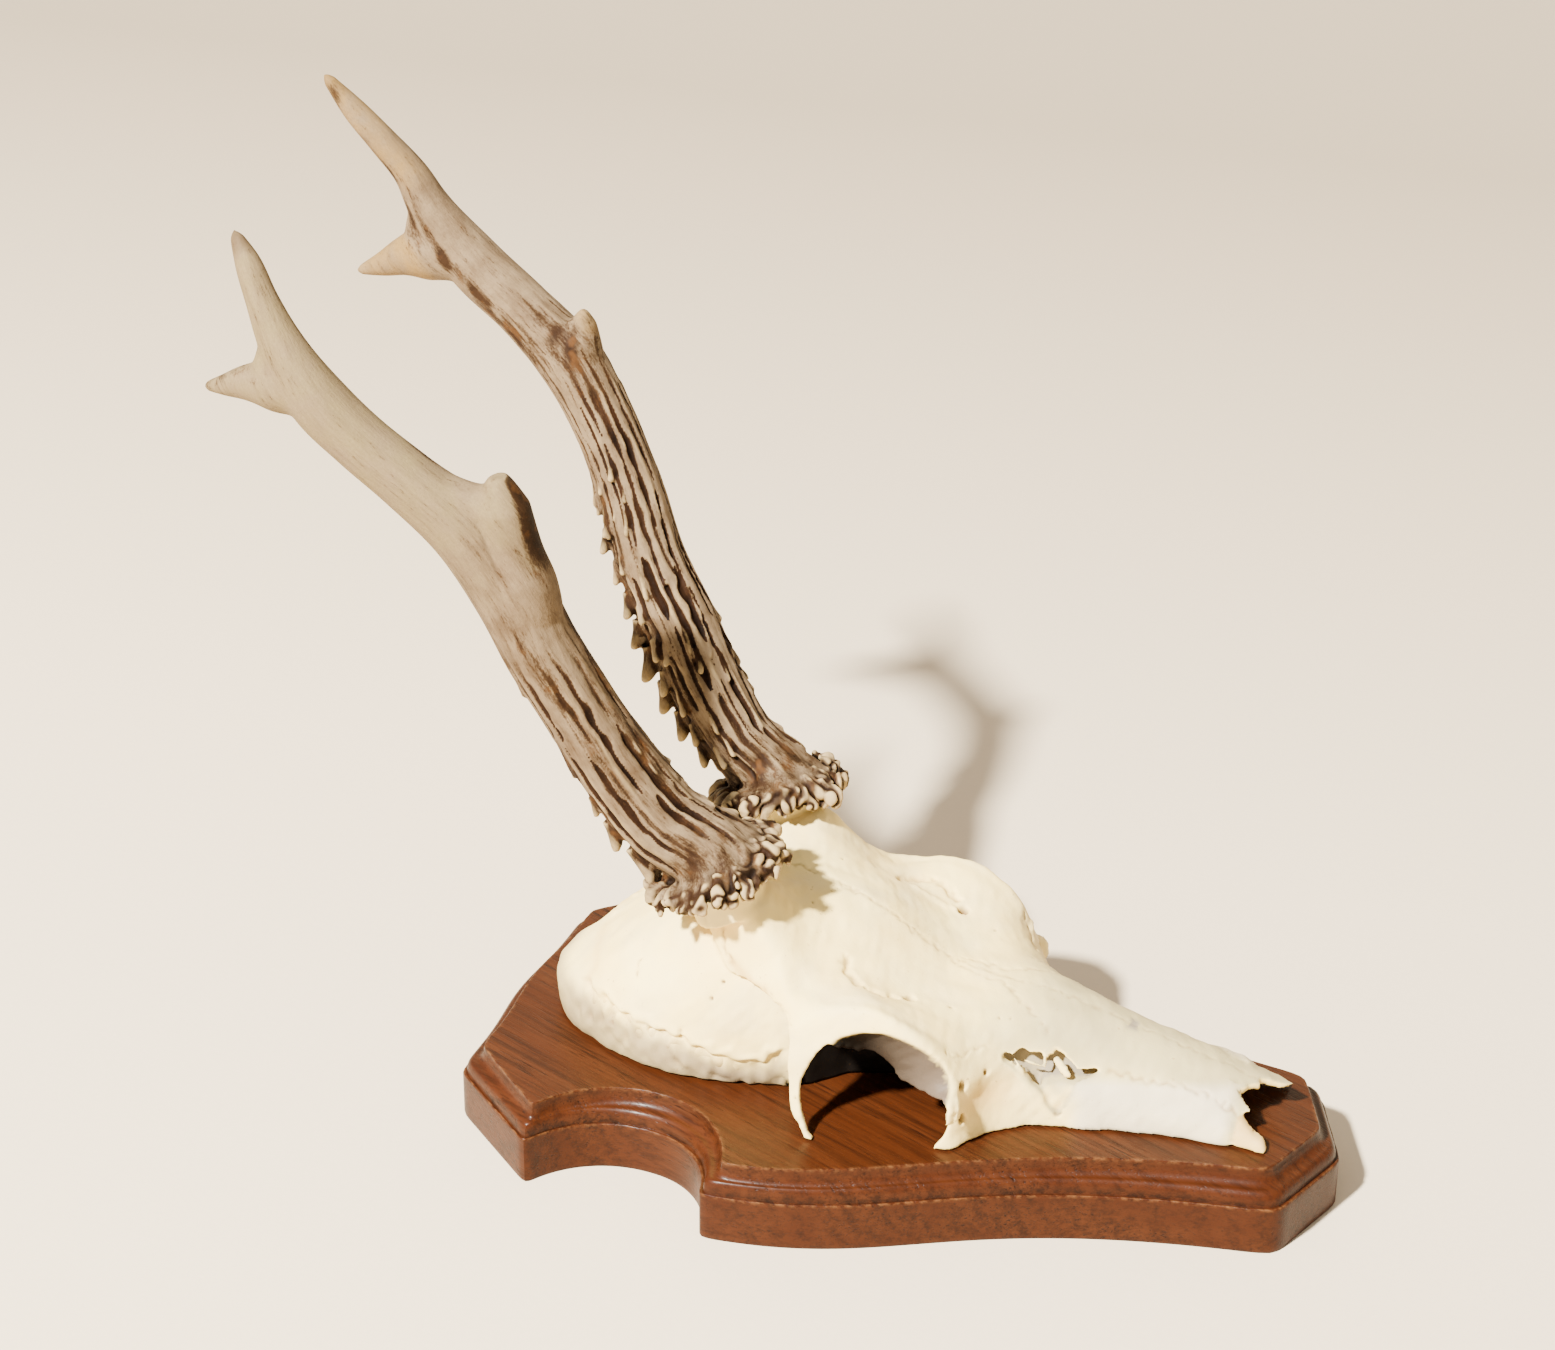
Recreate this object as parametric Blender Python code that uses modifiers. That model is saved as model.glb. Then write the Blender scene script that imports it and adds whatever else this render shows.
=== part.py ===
"""Roe buck trophy: a sawn skull with two antlers, lying on a moulded wooden shield.

The frame has its origin at the middle of the shield's flat back, +X towards the nose, +Z up.
The animal's right side is at -Y. Sizes are written in millimetres and turned into metres.
"""

import math

import bmesh
import bpy
import numpy as np

MM = 0.001
GAP = 0.3                      # play between touching pieces
SEED = 7

# Shield. Each outline runs from the nose tip round the +Y side to the middle of the back end.
BOARD_THICKNESS = 22.0
BACK_EDGE = -109.7             # x of the back edge of the board's flat top
LEDGE_HEIGHT = 13.4
BACK_BULGE = 1.7               # the back end swells by this in its middle
BACK_DIP = 0.6
COVE_CENTRE = (-59.3, 72.7)
OUTER = dict(tip=(116.1, 0.0), nose=(105.3, 28.5), shoulder=(-35.8, 71.5), ear=(-86.9, 65.1),
             back=(-116.1, 40.0), reach_out=(54.0, -2.5), reach_in=(88.0, 11.3))
INNER = dict(tip=(110.0, 0.0), nose=(101.0, 23.2), shoulder=(-30.7, 67.9), ear=(-86.2, 60.1),
             back=(-109.9, 38.5), reach_out=(38.0, -2.0), reach_in=(74.0, 10.5))
# Moulding, as (share of the way from the outer outline to the inner one, height).
MOULDING = ((0.10, 0.0), (0.0, 0.8), (0.0, LEDGE_HEIGHT - 0.7), (0.06, LEDGE_HEIGHT),
            (0.16, LEDGE_HEIGHT), (0.18, LEDGE_HEIGHT + 1.2), (0.34, LEDGE_HEIGHT + 3.2),
            (0.56, LEDGE_HEIGHT + 4.1), (0.80, LEDGE_HEIGHT + 5.2), (0.93, LEDGE_HEIGHT + 6.6),
            (0.97, BOARD_THICKNESS - 0.5), (1.0, BOARD_THICKNESS))

# Skull. Stations along x are measured from the back edge of the board's top.
SAW_HEIGHT = BOARD_THICKNESS + GAP
BONE = 2.6
# Face and forehead, half sections: x, then (y, z) of midline, crown, dip, brow, rim and foot.
FACE = (
    (50.0, (0, 64.8), (9, 64.2), (17, 61.0), (23, 55.0), (28, 46.0), (31, 18)),
    (61.0, (0, 71.0), (10, 73.2), (18, 75.6), (25.5, 74.2), (28.5, 61.0), (34, 18)),
    (68.0, (0, 72.0), (11, 74.0), (20, 77.4), (28.5, 75.8), (32, 60.0), (42, 18)),
    (75.0, (0, 72.0), (11, 73.0), (21, 75.6), (30, 73.0), (34.5, 56.0), (48, 18)),
    (82.0, (0, 70.8), (12, 70.0), (22, 69.5), (31, 66.3), (39, 54.5), (51, 18)),
    (89.0, (0, 68.8), (12, 66.9), (23, 63.3), (34, 59.5), (44, 52.0), (51.5, 18)),
    (97.0, (0, 65.5), (12, 63.5), (24, 60.0), (37, 57.5), (44.5, 53.0), (52.5, 18)),
    (105.0, (0, 61.3), (12, 59.0), (24, 56.5), (38, 59.0), (44.3, 53.5), (52, 18)),
    (112.0, (0, 56.6), (11, 55.0), (24, 53.8), (38, 58.0), (44, 54.0), (50, 18)),
    (119.0, (0, 52.6), (11, 51.8), (24, 51.8), (37, 53.5), (43, 51.5), (47, 18)),
    (127.0, (0, 51.2), (11, 50.5), (22, 50.0), (34, 48.5), (41.5, 45.5), (44.5, 18)),
    (133.0, (0, 50.3), (11, 49.4), (20, 47.8), (30, 44.0), (38.5, 38.0), (43.5, 18)),
    (139.0, (0, 49.6), (10, 48.5), (17.5, 45.8), (25, 40.5), (30.5, 33.5), (34, 18)),
    (147.0, (0, 48.7), (8.5, 47.3), (14.5, 43.6), (20, 38.0), (24.5, 31.0), (27.5, 18)),
    (159.0, (0, 45.8), (7, 44.6), (12.5, 40.6), (17.5, 34.5), (21, 28.5), (23.5, 18)),
    (170.0, (0, 42.4), (6, 41.4), (11, 38.2), (15.5, 32.5), (18.3, 27.5), (20, 18)),
    (186.0, (0, 38.3), (5.5, 37.4), (10, 34.8), (14, 30.0), (16.3, 26.0), (17.6, 18)),
    (198.0, (0, 35.0), (5, 34.2), (9.5, 32.0), (13.5, 28.3), (16, 25.0), (17.8, 18)),
    (209.0, (0, 31.5), (4.5, 31.0), (9, 29.3), (13.5, 26.5), (16.5, 24.0), (18.7, 18)),
)
# Braincase, an egg with its open mouth forward: x, half width, top, middle height, bottom.
BRAINCASE = (
    (8.4, 4.0, 32.0, 30.0, 27.6), (10.2, 9.2, 34.2, 30.0, 24.0), (13.8, 14.0, 36.8, 30.0, 19.0),
    (19.0, 19.5, 41.6, 31.0, 15.0), (28.0, 25.5, 49.4, 32.0, 13.0), (40.0, 31.0, 59.0, 33.0, 12.0),
    (57.0, 34.3, 68.3, 34.0, 12.0), (71.0, 33.0, 70.3, 34.0, 12.0), (82.0, 27.5, 67.5, 34.0, 12.0),
    (94.0, 22.0, 60.0, 34.0, 12.0))
BRAINCASE_FULLNESS = 2.4       # 2 is an ellipse, more is boxier
# Side outlines in x and z that trim the forehead behind the temple ridge and the bone bar.
TEMPLE = ((50.0, 74.0), (57.0, 68.5), (61.0, 64.3), (68.0, 56.5), (74.0, 55.5), (81.0, 54.7),
          (86.5, 53.8), (88.7, 51.0), (89.3, 45.0), (90.0, 36.0), (91.0, 29.0), (93.5, 20.0),
          (93.5, 5.0), (44.0, 5.0), (44.0, 74.0))
ORBIT_CENTRE = (112.9, 34.3)
ORBIT_RADIUS = 19.4
SOCKET_ARC = (-28.0, 160.0)    # degrees of the eye socket's wall that are left
SOCKET_INSET = 2.4             # its outer edge lies this far inside the face
SOCKET_WALL = 1.6
# Front of the jaw in side view (x, z), and front of the nose bones in plan view (x, y).
JAW_CUT = ((208.7, 15.0), (208.5, 22.5), (207.3, 24.6), (205.0, 26.0), (203.2, 27.0), (200.6, 29.1),
           (199.0, 29.9), (199.0, 31.0), (225.0, 31.0), (225.0, 15.0))
NOSE_POINTS = ((199.0, 12.3), (203.0, 9.2), (198.4, 6.6), (201.5, 4.3), (203.8, 1.2), (203.0, 0.0))
NOSE_CUT_BOTTOM = 29.6
SIDE_GAP = ((139.5, 41.3), (146.0, 41.0), (151.0, 41.2), (153.0, 38.9), (158.0, 37.3), (163.5, 37.0),
            (158.5, 36.0), (154.5, 35.6), (152.3, 33.2), (149.0, 32.6), (146.5, 34.5),
            (144.5, 38.0), (141.0, 39.8))

# Antlers. Each route point is x from the board's top back edge, distance from the middle plane,
# height, and the beam's radius there.
# Each lean is the degrees that the burr leans back, and how far it leans outwards, as a slope.
BURR_RADIUS = 17.6
BURR_DEPTH = 3.5               # from the burr's middle down to its flat underside
BURR_KNOB = 1.6
BURR_KNOBS = 13
# Burr's profile: heights along the beam, and how far out each is from beam to full radius.
BURR_PROFILE = ((0.0, 0.8, 2.4, 4.6, 6.6, 8.2, 10.0), (0.0, 0.55, 0.93, 1.0, 0.85, 0.5, 0.0))
PEDICLE_RADIUS = 9.6
PEDICLE_LENGTH = 13.0
RIGHT = dict(
    side=-1.0, lean=(19.5, 0.09),
    beam=((61.5, 25.0, 82.6, 11.0), (48.3, 27.0, 94.2, 11.0), (37.0, 29.5, 109.0, 10.6),
          (28.5, 32.0, 124.0, 9.9), (19.5, 35.0, 141.0, 9.9), (12.0, 38.0, 158.5, 9.9),
          (1.5, 41.5, 175.5, 9.2), (-12.0, 44.5, 187.5, 7.8), (-24.0, 46.0, 197.0, 7.4),
          (-34.5, 47.0, 207.0, 7.4), (-43.5, 46.3, 219.5, 5.7)),
    top=((-49.0, 44.5, 229.5, 4.1), (-53.5, 42.5, 238.5, 3.2), (-57.5, 41.0, 245.5, 1.2)),
    front=((17.4, 36.5, 149.3, 9.6), (15.3, 38.5, 160.0, 9.4), (13.6, 40.0, 170.2, 7.8),
           (12.4, 41.0, 179.1, 6.6), (12.2, 41.6, 186.2, 4.7)),
    rear=((-33.0, 47.0, 207.0, 6.0), (-45.0, 46.8, 209.0, 6.1), (-53.0, 46.4, 208.4, 4.7),
          (-60.0, 45.8, 206.6, 2.8), (-65.8, 45.0, 205.2, 1.1)))
LEFT = dict(
    side=1.0, lean=(12.0, 0.14),
    beam=((60.6, 25.0, 80.7, 10.4), (48.9, 27.0, 93.3, 10.4), (37.8, 30.0, 107.2, 10.5),
          (28.9, 33.0, 123.2, 10.2), (20.3, 35.5, 138.2, 9.6), (12.0, 39.0, 159.5, 8.9),
          (4.5, 41.0, 174.5, 8.8), (-4.5, 43.0, 188.0, 9.0), (-18.5, 44.5, 200.5, 7.9),
          (-34.0, 46.0, 212.0, 7.7), (-46.5, 45.7, 226.5, 5.9)),
    top=((-51.0, 45.0, 235.0, 4.6), (-58.0, 43.5, 243.5, 3.9),
         (-65.5, 42.5, 251.5, 3.2), (-73.2, 41.5, 260.4, 1.1)),
    front=((-1.0, 42.0, 184.0, 7.0), (-1.2, 42.2, 195.0, 5.2), (-0.6, 42.0, 204.0, 2.6)),
    rear=((-36.0, 46.0, 213.5, 7.3), (-47.5, 46.0, 213.2, 6.9), (-54.0, 45.8, 211.3, 5.4),
          (-60.0, 45.5, 208.6, 3.6), (-67.6, 45.0, 205.8, 1.0)))
ROOT_SHARE = dict(front=1.0, rear=0.6)   # share of a side tine that belongs to the beam
BEAM_AROUND = 26
BEAM_ALONG = 24
TINE_AROUND = 12
RIDGES = 7
RIDGE_HEIGHT = 0.75
PEARLS = 26
PEARL_HEIGHT = 3.0


def clear_scene():
    """Remove every object that the file starts with."""
    for item in list(bpy.data.objects):
        bpy.data.objects.remove(item, do_unlink=True)


def new_collection(name):
    """Link a new collection under the scene."""
    collection = bpy.data.collections.new(name)
    bpy.context.scene.collection.children.link(collection)
    return collection


def make_material(name, colour, roughness):
    """A plain Principled material."""
    material = bpy.data.materials.new(name)
    material.use_nodes = True
    shader = material.node_tree.nodes["Principled BSDF"]
    shader.inputs["Base Color"].default_value = (*colour, 1.0)
    shader.inputs["Roughness"].default_value = roughness
    shader.inputs["Metallic"].default_value = 0.0
    return material


def smooth(knots, values, at):
    """Cubic Hermite curve through values at knots, with slopes from the neighbouring spans."""
    knots = np.asarray(knots, float)
    values = np.asarray(values, float).reshape(len(knots), -1)
    at = np.clip(np.asarray(at, float), knots[0], knots[-1])
    slopes = np.gradient(values, knots, axis=0)
    span = np.clip(np.searchsorted(knots, at, side="right") - 1, 0, len(knots) - 2)
    width = knots[span + 1] - knots[span]
    t = ((at - knots[span]) / width)[:, None]
    start, end = values[span], values[span + 1]
    slope_in, slope_out = slopes[span] * width[:, None], slopes[span + 1] * width[:, None]
    blend = 3 * t ** 2 - 2 * t ** 3
    return (start * (1 - blend) + end * blend
            + slope_in * (t ** 3 - 2 * t ** 2 + t) + slope_out * (t ** 3 - t ** 2))


def mesh_object(name, points, faces, collection, material=None):
    """An object from points in millimetres and faces, with coinciding points welded."""
    mesh = bpy.data.meshes.new(name)
    mesh.from_pydata((np.asarray(points, float) * MM).tolist(), [], faces)
    shape = bmesh.new()
    shape.from_mesh(mesh)
    bmesh.ops.remove_doubles(shape, verts=shape.verts, dist=0.01 * MM)
    bmesh.ops.recalc_face_normals(shape, faces=shape.faces)
    shape.to_mesh(mesh)
    shape.free()
    item = bpy.data.objects.new(name, mesh)
    collection.objects.link(item)
    if material:
        mesh.materials.append(material)
        mesh.shade_smooth()
        mesh.set_sharp_from_angle(angle=math.radians(50))
    return item


def grid_faces(rows, columns, closed):
    """Quads of a grid of points, joined round its columns when closed."""
    last = columns if closed else columns - 1
    return [(r * columns + c, r * columns + (c + 1) % columns,
             (r + 1) * columns + (c + 1) % columns, (r + 1) * columns + c)
            for r in range(rows - 1) for c in range(last)]


def capped_tube(name, rings, collection, material=None):
    """A closed body from rings of points, with a flat face on each end."""
    rows, columns = rings.shape[:2]
    faces = grid_faces(rows, columns, True)
    faces.append(tuple(reversed(range(columns))))
    faces.append(tuple((rows - 1) * columns + c for c in range(columns)))
    return mesh_object(name, rings.reshape(-1, 3), faces, collection, material)


def as_tool(item):
    """Show an object that only shapes others as wire, and keep it out of renders."""
    item.hide_render = True
    item.display_type = "WIRE"
    return item


def boolean(item, tool, operation):
    """Combine item with a closed tool."""
    modifier = item.modifiers.new(operation.title() + " " + tool.name, "BOOLEAN")
    modifier.operation = operation
    modifier.solver = "EXACT"
    modifier.object = tool


def solidify(item, thickness):
    """Thicken an open surface inwards."""
    modifier = item.modifiers.new("Bone", "SOLIDIFY")
    modifier.thickness = thickness * MM
    modifier.offset = -1.0


def half_outline(form):
    """One side of the shield's outline, from the nose tip to the middle of the back end."""
    nose, shoulder = np.array(form["nose"]), np.array(form["shoulder"])
    ear, back = np.array(form["ear"]), np.array(form["back"])
    t = np.linspace(0, 1, 10)[:, None]
    handle_in = nose + np.array((-form["reach_in"][0], form["reach_in"][1]))
    handle_out = shoulder + np.array(form["reach_out"])
    side = ((1 - t) ** 3 * nose + 3 * (1 - t) ** 2 * t * handle_in
            + 3 * (1 - t) * t ** 2 * handle_out + t ** 3 * shoulder)
    centre = np.array(COVE_CENTRE)
    radii = [np.linalg.norm(corner - centre) for corner in (shoulder, ear)]
    start = math.atan2(*(shoulder - centre)[::-1])
    end = math.atan2(*(ear - centre)[::-1])
    share = np.linspace(0, 1, 12)
    angle = start + (end - start) * share
    radius = radii[0] + (radii[1] - radii[0]) * np.clip((share - 0.5) / 0.5, 0, 1) ** 1.5
    cove = centre + radius[:, None] * np.stack([np.cos(angle), np.sin(angle)], 1)
    across = np.linspace(1, 0, 6)[1:]
    swell = (BACK_BULGE * np.cos(math.pi / 2 * across) ** 2
             - BACK_DIP * np.sin(math.pi * across) ** 2)
    end_line = np.stack([back[0] - swell, back[1] * across], 1)
    return np.concatenate([[form["tip"]], side, cove[1:], [back], end_line])


def full_outline(form):
    """The closed outline, mirrored in the middle plane."""
    half = half_outline(form)
    other = half[-2:0:-1] * np.array((1.0, -1.0))
    return np.concatenate([half, other])


def make_board(collection, material):
    """The shield: its outline carried up the moulding's profile."""
    outer, inner = full_outline(OUTER), full_outline(INNER)
    rings = []
    for share, height in MOULDING:
        flat = outer + (inner - outer) * share
        rings.append(np.column_stack([flat, np.full(len(flat), height)]))
    return capped_tube("shield", np.array(rings), collection, material)


def face_surface():
    """Open surface of forehead and nose: half sections joined along x, mirrored in y."""
    stations = [row[0] for row in FACE]
    sections = np.array([row[1:] for row in FACE], float).reshape(len(FACE), -1)
    along = np.concatenate([np.linspace(50, 126, 13), np.linspace(131, 159, 6),
                            np.linspace(170, 212, 4)])
    controls = smooth(stations, sections, along).reshape(len(along), 6, 2)
    mirrored = controls[:, 1:2] * np.array((-1.0, 1.0))
    controls = np.concatenate([mirrored, controls], 1)
    knots = np.arange(-1.0, 6.0)
    around = np.concatenate([np.linspace(0, 3, 7), (3.5, 4.0, 5.0)])
    half = np.stack([smooth(knots, row, around) for row in controls])
    half[:, 0, 0] = 0.0
    whole = np.concatenate([half[:, :0:-1] * np.array((-1.0, 1.0)), half], 1)
    x = np.broadcast_to(along[:, None] + BACK_EDGE, whole.shape[:2])
    return np.dstack([x, whole])


def braincase_surface():
    """Open egg: full rounded sections joined along x."""
    table = np.array(BRAINCASE)
    along = np.array((6.8, 9, 13, 18, 25, 33, 42, 52, 62, 72, 83, 94), float)
    width, top, middle, bottom = smooth(table[:, 0], table[:, 1:], along).T
    angle = np.linspace(0, 2 * math.pi, 21)[:-1]
    power = 2 / BRAINCASE_FULLNESS
    across = np.sign(np.sin(angle)) * np.abs(np.sin(angle)) ** power
    up = np.sign(np.cos(angle)) * np.abs(np.cos(angle)) ** power
    reach = np.where(up > 0, (top - middle)[:, None], (middle - bottom)[:, None])
    x = np.broadcast_to(along[:, None] + BACK_EDGE, (len(along), len(angle)))
    return np.dstack([x, width[:, None] * across, middle[:, None] + reach * up])


def cheek_width(x, z):
    """Distance of the face's side from the middle plane, from foot up to brow."""
    stations = [row[0] for row in FACE]
    sections = np.array([row[:3:-1] for row in FACE], float)
    widths = []
    for place, height in zip(x, z):
        side = smooth(stations, sections.reshape(len(FACE), -1), [place]).reshape(3, 2)
        widths.append(np.interp(height, side[:, 1], side[:, 0]))
    return np.array(widths)


def socket_surface(side):
    """Strip of the eye socket's wall, from the rim inwards; deeper towards the nose."""
    angle = np.radians(np.linspace(*SOCKET_ARC, 11))
    depth = np.linspace(0, 1, 3)
    frontness = np.clip((np.cos(angle) + 0.6) / 1.6, 0, 1)
    rim_x = ORBIT_CENTRE[0] + ORBIT_RADIUS * np.cos(angle)
    rim_z = ORBIT_CENTRE[1] + ORBIT_RADIUS * np.sin(angle)
    rim = cheek_width(rim_x, rim_z) - SOCKET_INSET
    out = rim[:, None] - (7.0 + 12.0 * frontness)[:, None] * depth
    radius = ORBIT_RADIUS + 0.3 - (1.0 + 4.0 * depth) * depth
    x = BACK_EDGE + ORBIT_CENTRE[0] + radius * np.cos(angle)[:, None]
    z = ORBIT_CENTRE[1] + radius * np.sin(angle)[:, None]
    return np.dstack([x, side * out, z])


def prism(name, outline, low, high, collection, upright=False):
    """A closed block with an outline in x and z from y low to high, or in x and y if upright."""
    flat = np.array(outline, float)
    order = (0, 1, 2) if upright else (0, 2, 1)
    rings = [np.column_stack([flat[:, 0] + BACK_EDGE, flat[:, 1], np.full(len(flat), end)])[:, order]
             for end in (low, high)]
    return as_tool(capped_tube(name, np.array(rings), collection))


def nose_cut(collection):
    """Block in front of the nose bones, whose back is their pointed front edge."""
    points = np.array(NOSE_POINTS)
    edge = np.concatenate([points, points[-2::-1] * np.array((1.0, -1.0))])
    corners = ((199.0, -30.0), (225.0, -30.0), (225.0, 30.0), (199.0, 30.0))
    return prism("nose_cut", np.concatenate([edge, corners]), NOSE_CUT_BOTTOM, 50.0, collection, True)


def make_pedicle(form, collection):
    """Bone stump under a burr: a cone whose flat top is square to the burr's lean."""
    centre, lean = burr_place(form)
    top = centre - (BURR_DEPTH + GAP) * lean
    across = np.cross(lean, (0.0, 1.0, 0.0))
    across /= np.linalg.norm(across)
    other = np.cross(lean, across)
    angle = np.linspace(0, 2 * math.pi, 17)[:-1, None]
    ring = np.cos(angle) * across + np.sin(angle) * other
    rings = [top - lean * PEDICLE_LENGTH * (1 - t) + ring * (PEDICLE_RADIUS + 1.5 * (1 - t) ** 2)
             for t in (0.0, 0.5, 1.0)]
    name = "pedicle_" + ("left" if form["side"] > 0 else "right")
    return as_tool(capped_tube(name, np.array(rings), collection))


def cut_side(skull, side, tools):
    """Trim one side behind the temple ridge, and open the eye socket and the gap beside the nose."""
    near, far = sorted((side * 20.0, side * 75.0))
    boolean(skull, prism(f"temple_{side}", TEMPLE, near, far, tools), "DIFFERENCE")
    angle = np.linspace(0.05, 2 * math.pi + 0.05, 29)[:-1]
    circle = np.column_stack([ORBIT_CENTRE[0] + ORBIT_RADIUS * np.cos(angle),
                              ORBIT_CENTRE[1] + ORBIT_RADIUS * np.sin(angle)])
    near, far = sorted((side * 34.0, side * 75.0))
    boolean(skull, prism(f"orbit_{side}", circle, near, far, tools), "DIFFERENCE")
    near, far = sorted((side * 8.0, side * 40.0))
    boolean(skull, prism(f"side_gap_{side}", SIDE_GAP, near, far, tools), "DIFFERENCE")


def make_face(collection, tools, material):
    """Forehead and nose as one shell with its openings, sawn level below."""
    surface = face_surface()
    faces = grid_faces(*surface.shape[:2], False)
    skull = mesh_object("skull", surface.reshape(-1, 3), faces, collection, material)
    solidify(skull, BONE)
    for side in (-1, 1):
        cut_side(skull, side, tools)
    boolean(skull, prism("jaw_cut", JAW_CUT, -30.0, 30.0, tools), "DIFFERENCE")
    boolean(skull, nose_cut(tools), "DIFFERENCE")
    return skull


def make_braincase(tools):
    """The braincase as a shell, closed at the back."""
    egg = braincase_surface()
    faces = grid_faces(*egg.shape[:2], True)
    braincase = as_tool(mesh_object("braincase", egg.reshape(-1, 3), faces, tools))
    close_back(braincase)
    solidify(braincase, BONE)
    return braincase


def make_socket(side, tools):
    """One eye socket's strip of wall."""
    strip = socket_surface(side)
    faces = grid_faces(*strip.shape[:2], False)
    socket = as_tool(mesh_object(f"socket_{side}", strip.reshape(-1, 3), faces, tools))
    solidify(socket, SOCKET_WALL)
    socket.modifiers["Bone"].offset = 0.0
    return socket


def make_skull(collection, tools, material):
    """Face, braincase, eye sockets and pedicles as one bone that stands on its saw cut."""
    skull = make_face(collection, tools, material)
    braincase = make_braincase(tools)
    below = ((-10.0, -30.0), (-10.0, SAW_HEIGHT), (230.0, SAW_HEIGHT), (230.0, -30.0))
    saw = prism("saw", below, -80.0, 80.0, tools)
    boolean(skull, saw, "DIFFERENCE")
    boolean(braincase, saw, "DIFFERENCE")
    boolean(skull, braincase, "UNION")
    for side in (-1, 1):
        boolean(skull, make_socket(side, tools), "UNION")
    for form in (RIGHT, LEFT):
        boolean(skull, make_pedicle(form, tools), "UNION")
    return skull


def close_back(item):
    """Fill the small hole at the back of the braincase."""
    shape = bmesh.new()
    shape.from_mesh(item.data)
    x_back = min(vertex.co.x for vertex in shape.verts)
    ring = [edge for edge in shape.edges
            if edge.is_boundary and all(v.co.x < x_back + 0.5 * MM for v in edge.verts)]
    bmesh.ops.contextual_create(shape, geom=ring)
    bmesh.ops.recalc_face_normals(shape, faces=shape.faces)
    shape.to_mesh(item.data)
    shape.free()


def burr_place(form):
    """Middle of the burr and the direction in which the antler leaves it."""
    x, out, z, _ = form["beam"][0]
    tilt, spread = math.radians(form["lean"][0]), form["lean"][1]
    lean = np.array((-math.sin(tilt), form["side"] * spread, math.cos(tilt)))
    return np.array((x + BACK_EDGE, form["side"] * out, z)), lean / np.linalg.norm(lean)


def placed(points, side):
    """Route points in the part's frame: x, y, z and radius."""
    route = np.array(points, float)
    route[:, 0] += BACK_EDGE
    route[:, 1] *= side
    return route


def sweep(route, count, around, first=None):
    """Rings of points along a smooth route; radius is the route's fourth value.

    Each ring is square to the route and starts at the side that looks along +Y.
    """
    steps = np.linalg.norm(np.diff(route[:, :3], axis=0), axis=1)
    length = np.concatenate([[0.0], np.cumsum(steps)])
    at = np.linspace(0, length[-1], count) if np.isscalar(count) else np.asarray(count) * length[-1]
    line = smooth(length, route, at)
    tangent = np.gradient(line[:, :3], at, axis=0)
    if first is not None:
        tangent[0] = first
    tangent /= np.linalg.norm(tangent, axis=1)[:, None]
    sideways = np.array((0.0, 1.0, 0.0)) - tangent[:, 1:2] * tangent
    sideways /= np.linalg.norm(sideways, axis=1)[:, None]
    over = np.cross(tangent, sideways)
    angle = np.linspace(0, 2 * math.pi, around + 1)[:-1]
    ring = (np.cos(angle)[None, :, None] * sideways[:, None]
            + np.sin(angle)[None, :, None] * over[:, None])
    return line, at, angle, ring


def bumps(at, angle, length, side, radius):
    """Height of the pearls: soft round bumps on the back and inner side of the lower beam."""
    rng = np.random.default_rng(SEED if side > 0 else SEED + 1)
    height = np.zeros((len(at), len(angle)))
    for _ in range(PEARLS):
        place = length * rng.uniform(0.08, 0.52)
        turn = rng.normal(math.pi / 2 + 0.4 * side, 0.55)
        size = rng.uniform(1.8, 3.0)
        around = (angle - turn + math.pi) % (2 * math.pi) - math.pi
        gap = ((at - place)[:, None] / size) ** 2 + (around[None] * radius / size) ** 2
        height = np.maximum(height, PEARL_HEIGHT * rng.uniform(0.5, 1.0) * np.exp(-gap))
    return height


def make_beam(name, form, collection, tools, material):
    """Beam with burr, ridges and pearls, and the roots of both side tines."""
    centre, lean = burr_place(form)
    route = placed(form["beam"], form["side"])
    burr = [(*(centre + lean * d), form["beam"][0][3]) for d in (-BURR_DEPTH, 6.5)]
    route = np.vstack([burr, route[1:]])
    total = np.sum(np.linalg.norm(np.diff(route[:, :3], axis=0), axis=1))
    low = np.array(BURR_PROFILE[0] + (13.0,)) / total
    stations = np.concatenate([low, np.linspace(17.0 / total, 1.0, BEAM_ALONG - len(low))])
    line, at, angle, ring = sweep(route, stations, BEAM_AROUND, lean)
    flare = np.interp(at, BURR_PROFILE[0], BURR_PROFILE[1])[:, None]
    knobs = BURR_KNOB * np.cos(BURR_KNOBS * angle)[None] * flare
    fade = np.clip((at - 9.0) / 8.0, 0, 1) * np.clip((0.86 * total - at) / (0.35 * total), 0, 1)
    twist = 1.2 * np.sin(at / 23.0)[:, None]
    ridges = RIDGE_HEIGHT * np.cos(RIDGES * angle[None] + twist) * fade[:, None]
    radius = line[:, 3:4] + (BURR_RADIUS - line[:, 3:4]) * flare + knobs + ridges
    radius = radius + bumps(at, angle, total, form["side"], 10.5) * fade[:, None]
    rings = line[:, None, :3] + radius[:, :, None] * ring
    beam = capped_tube(name, rings, collection, material)
    for part in ("front", "rear"):
        root, _ = tine_rings(form, part)
        boolean(beam, as_tool(capped_tube(name + "_" + part + "_root", root, tools)), "UNION")
    return beam


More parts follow.
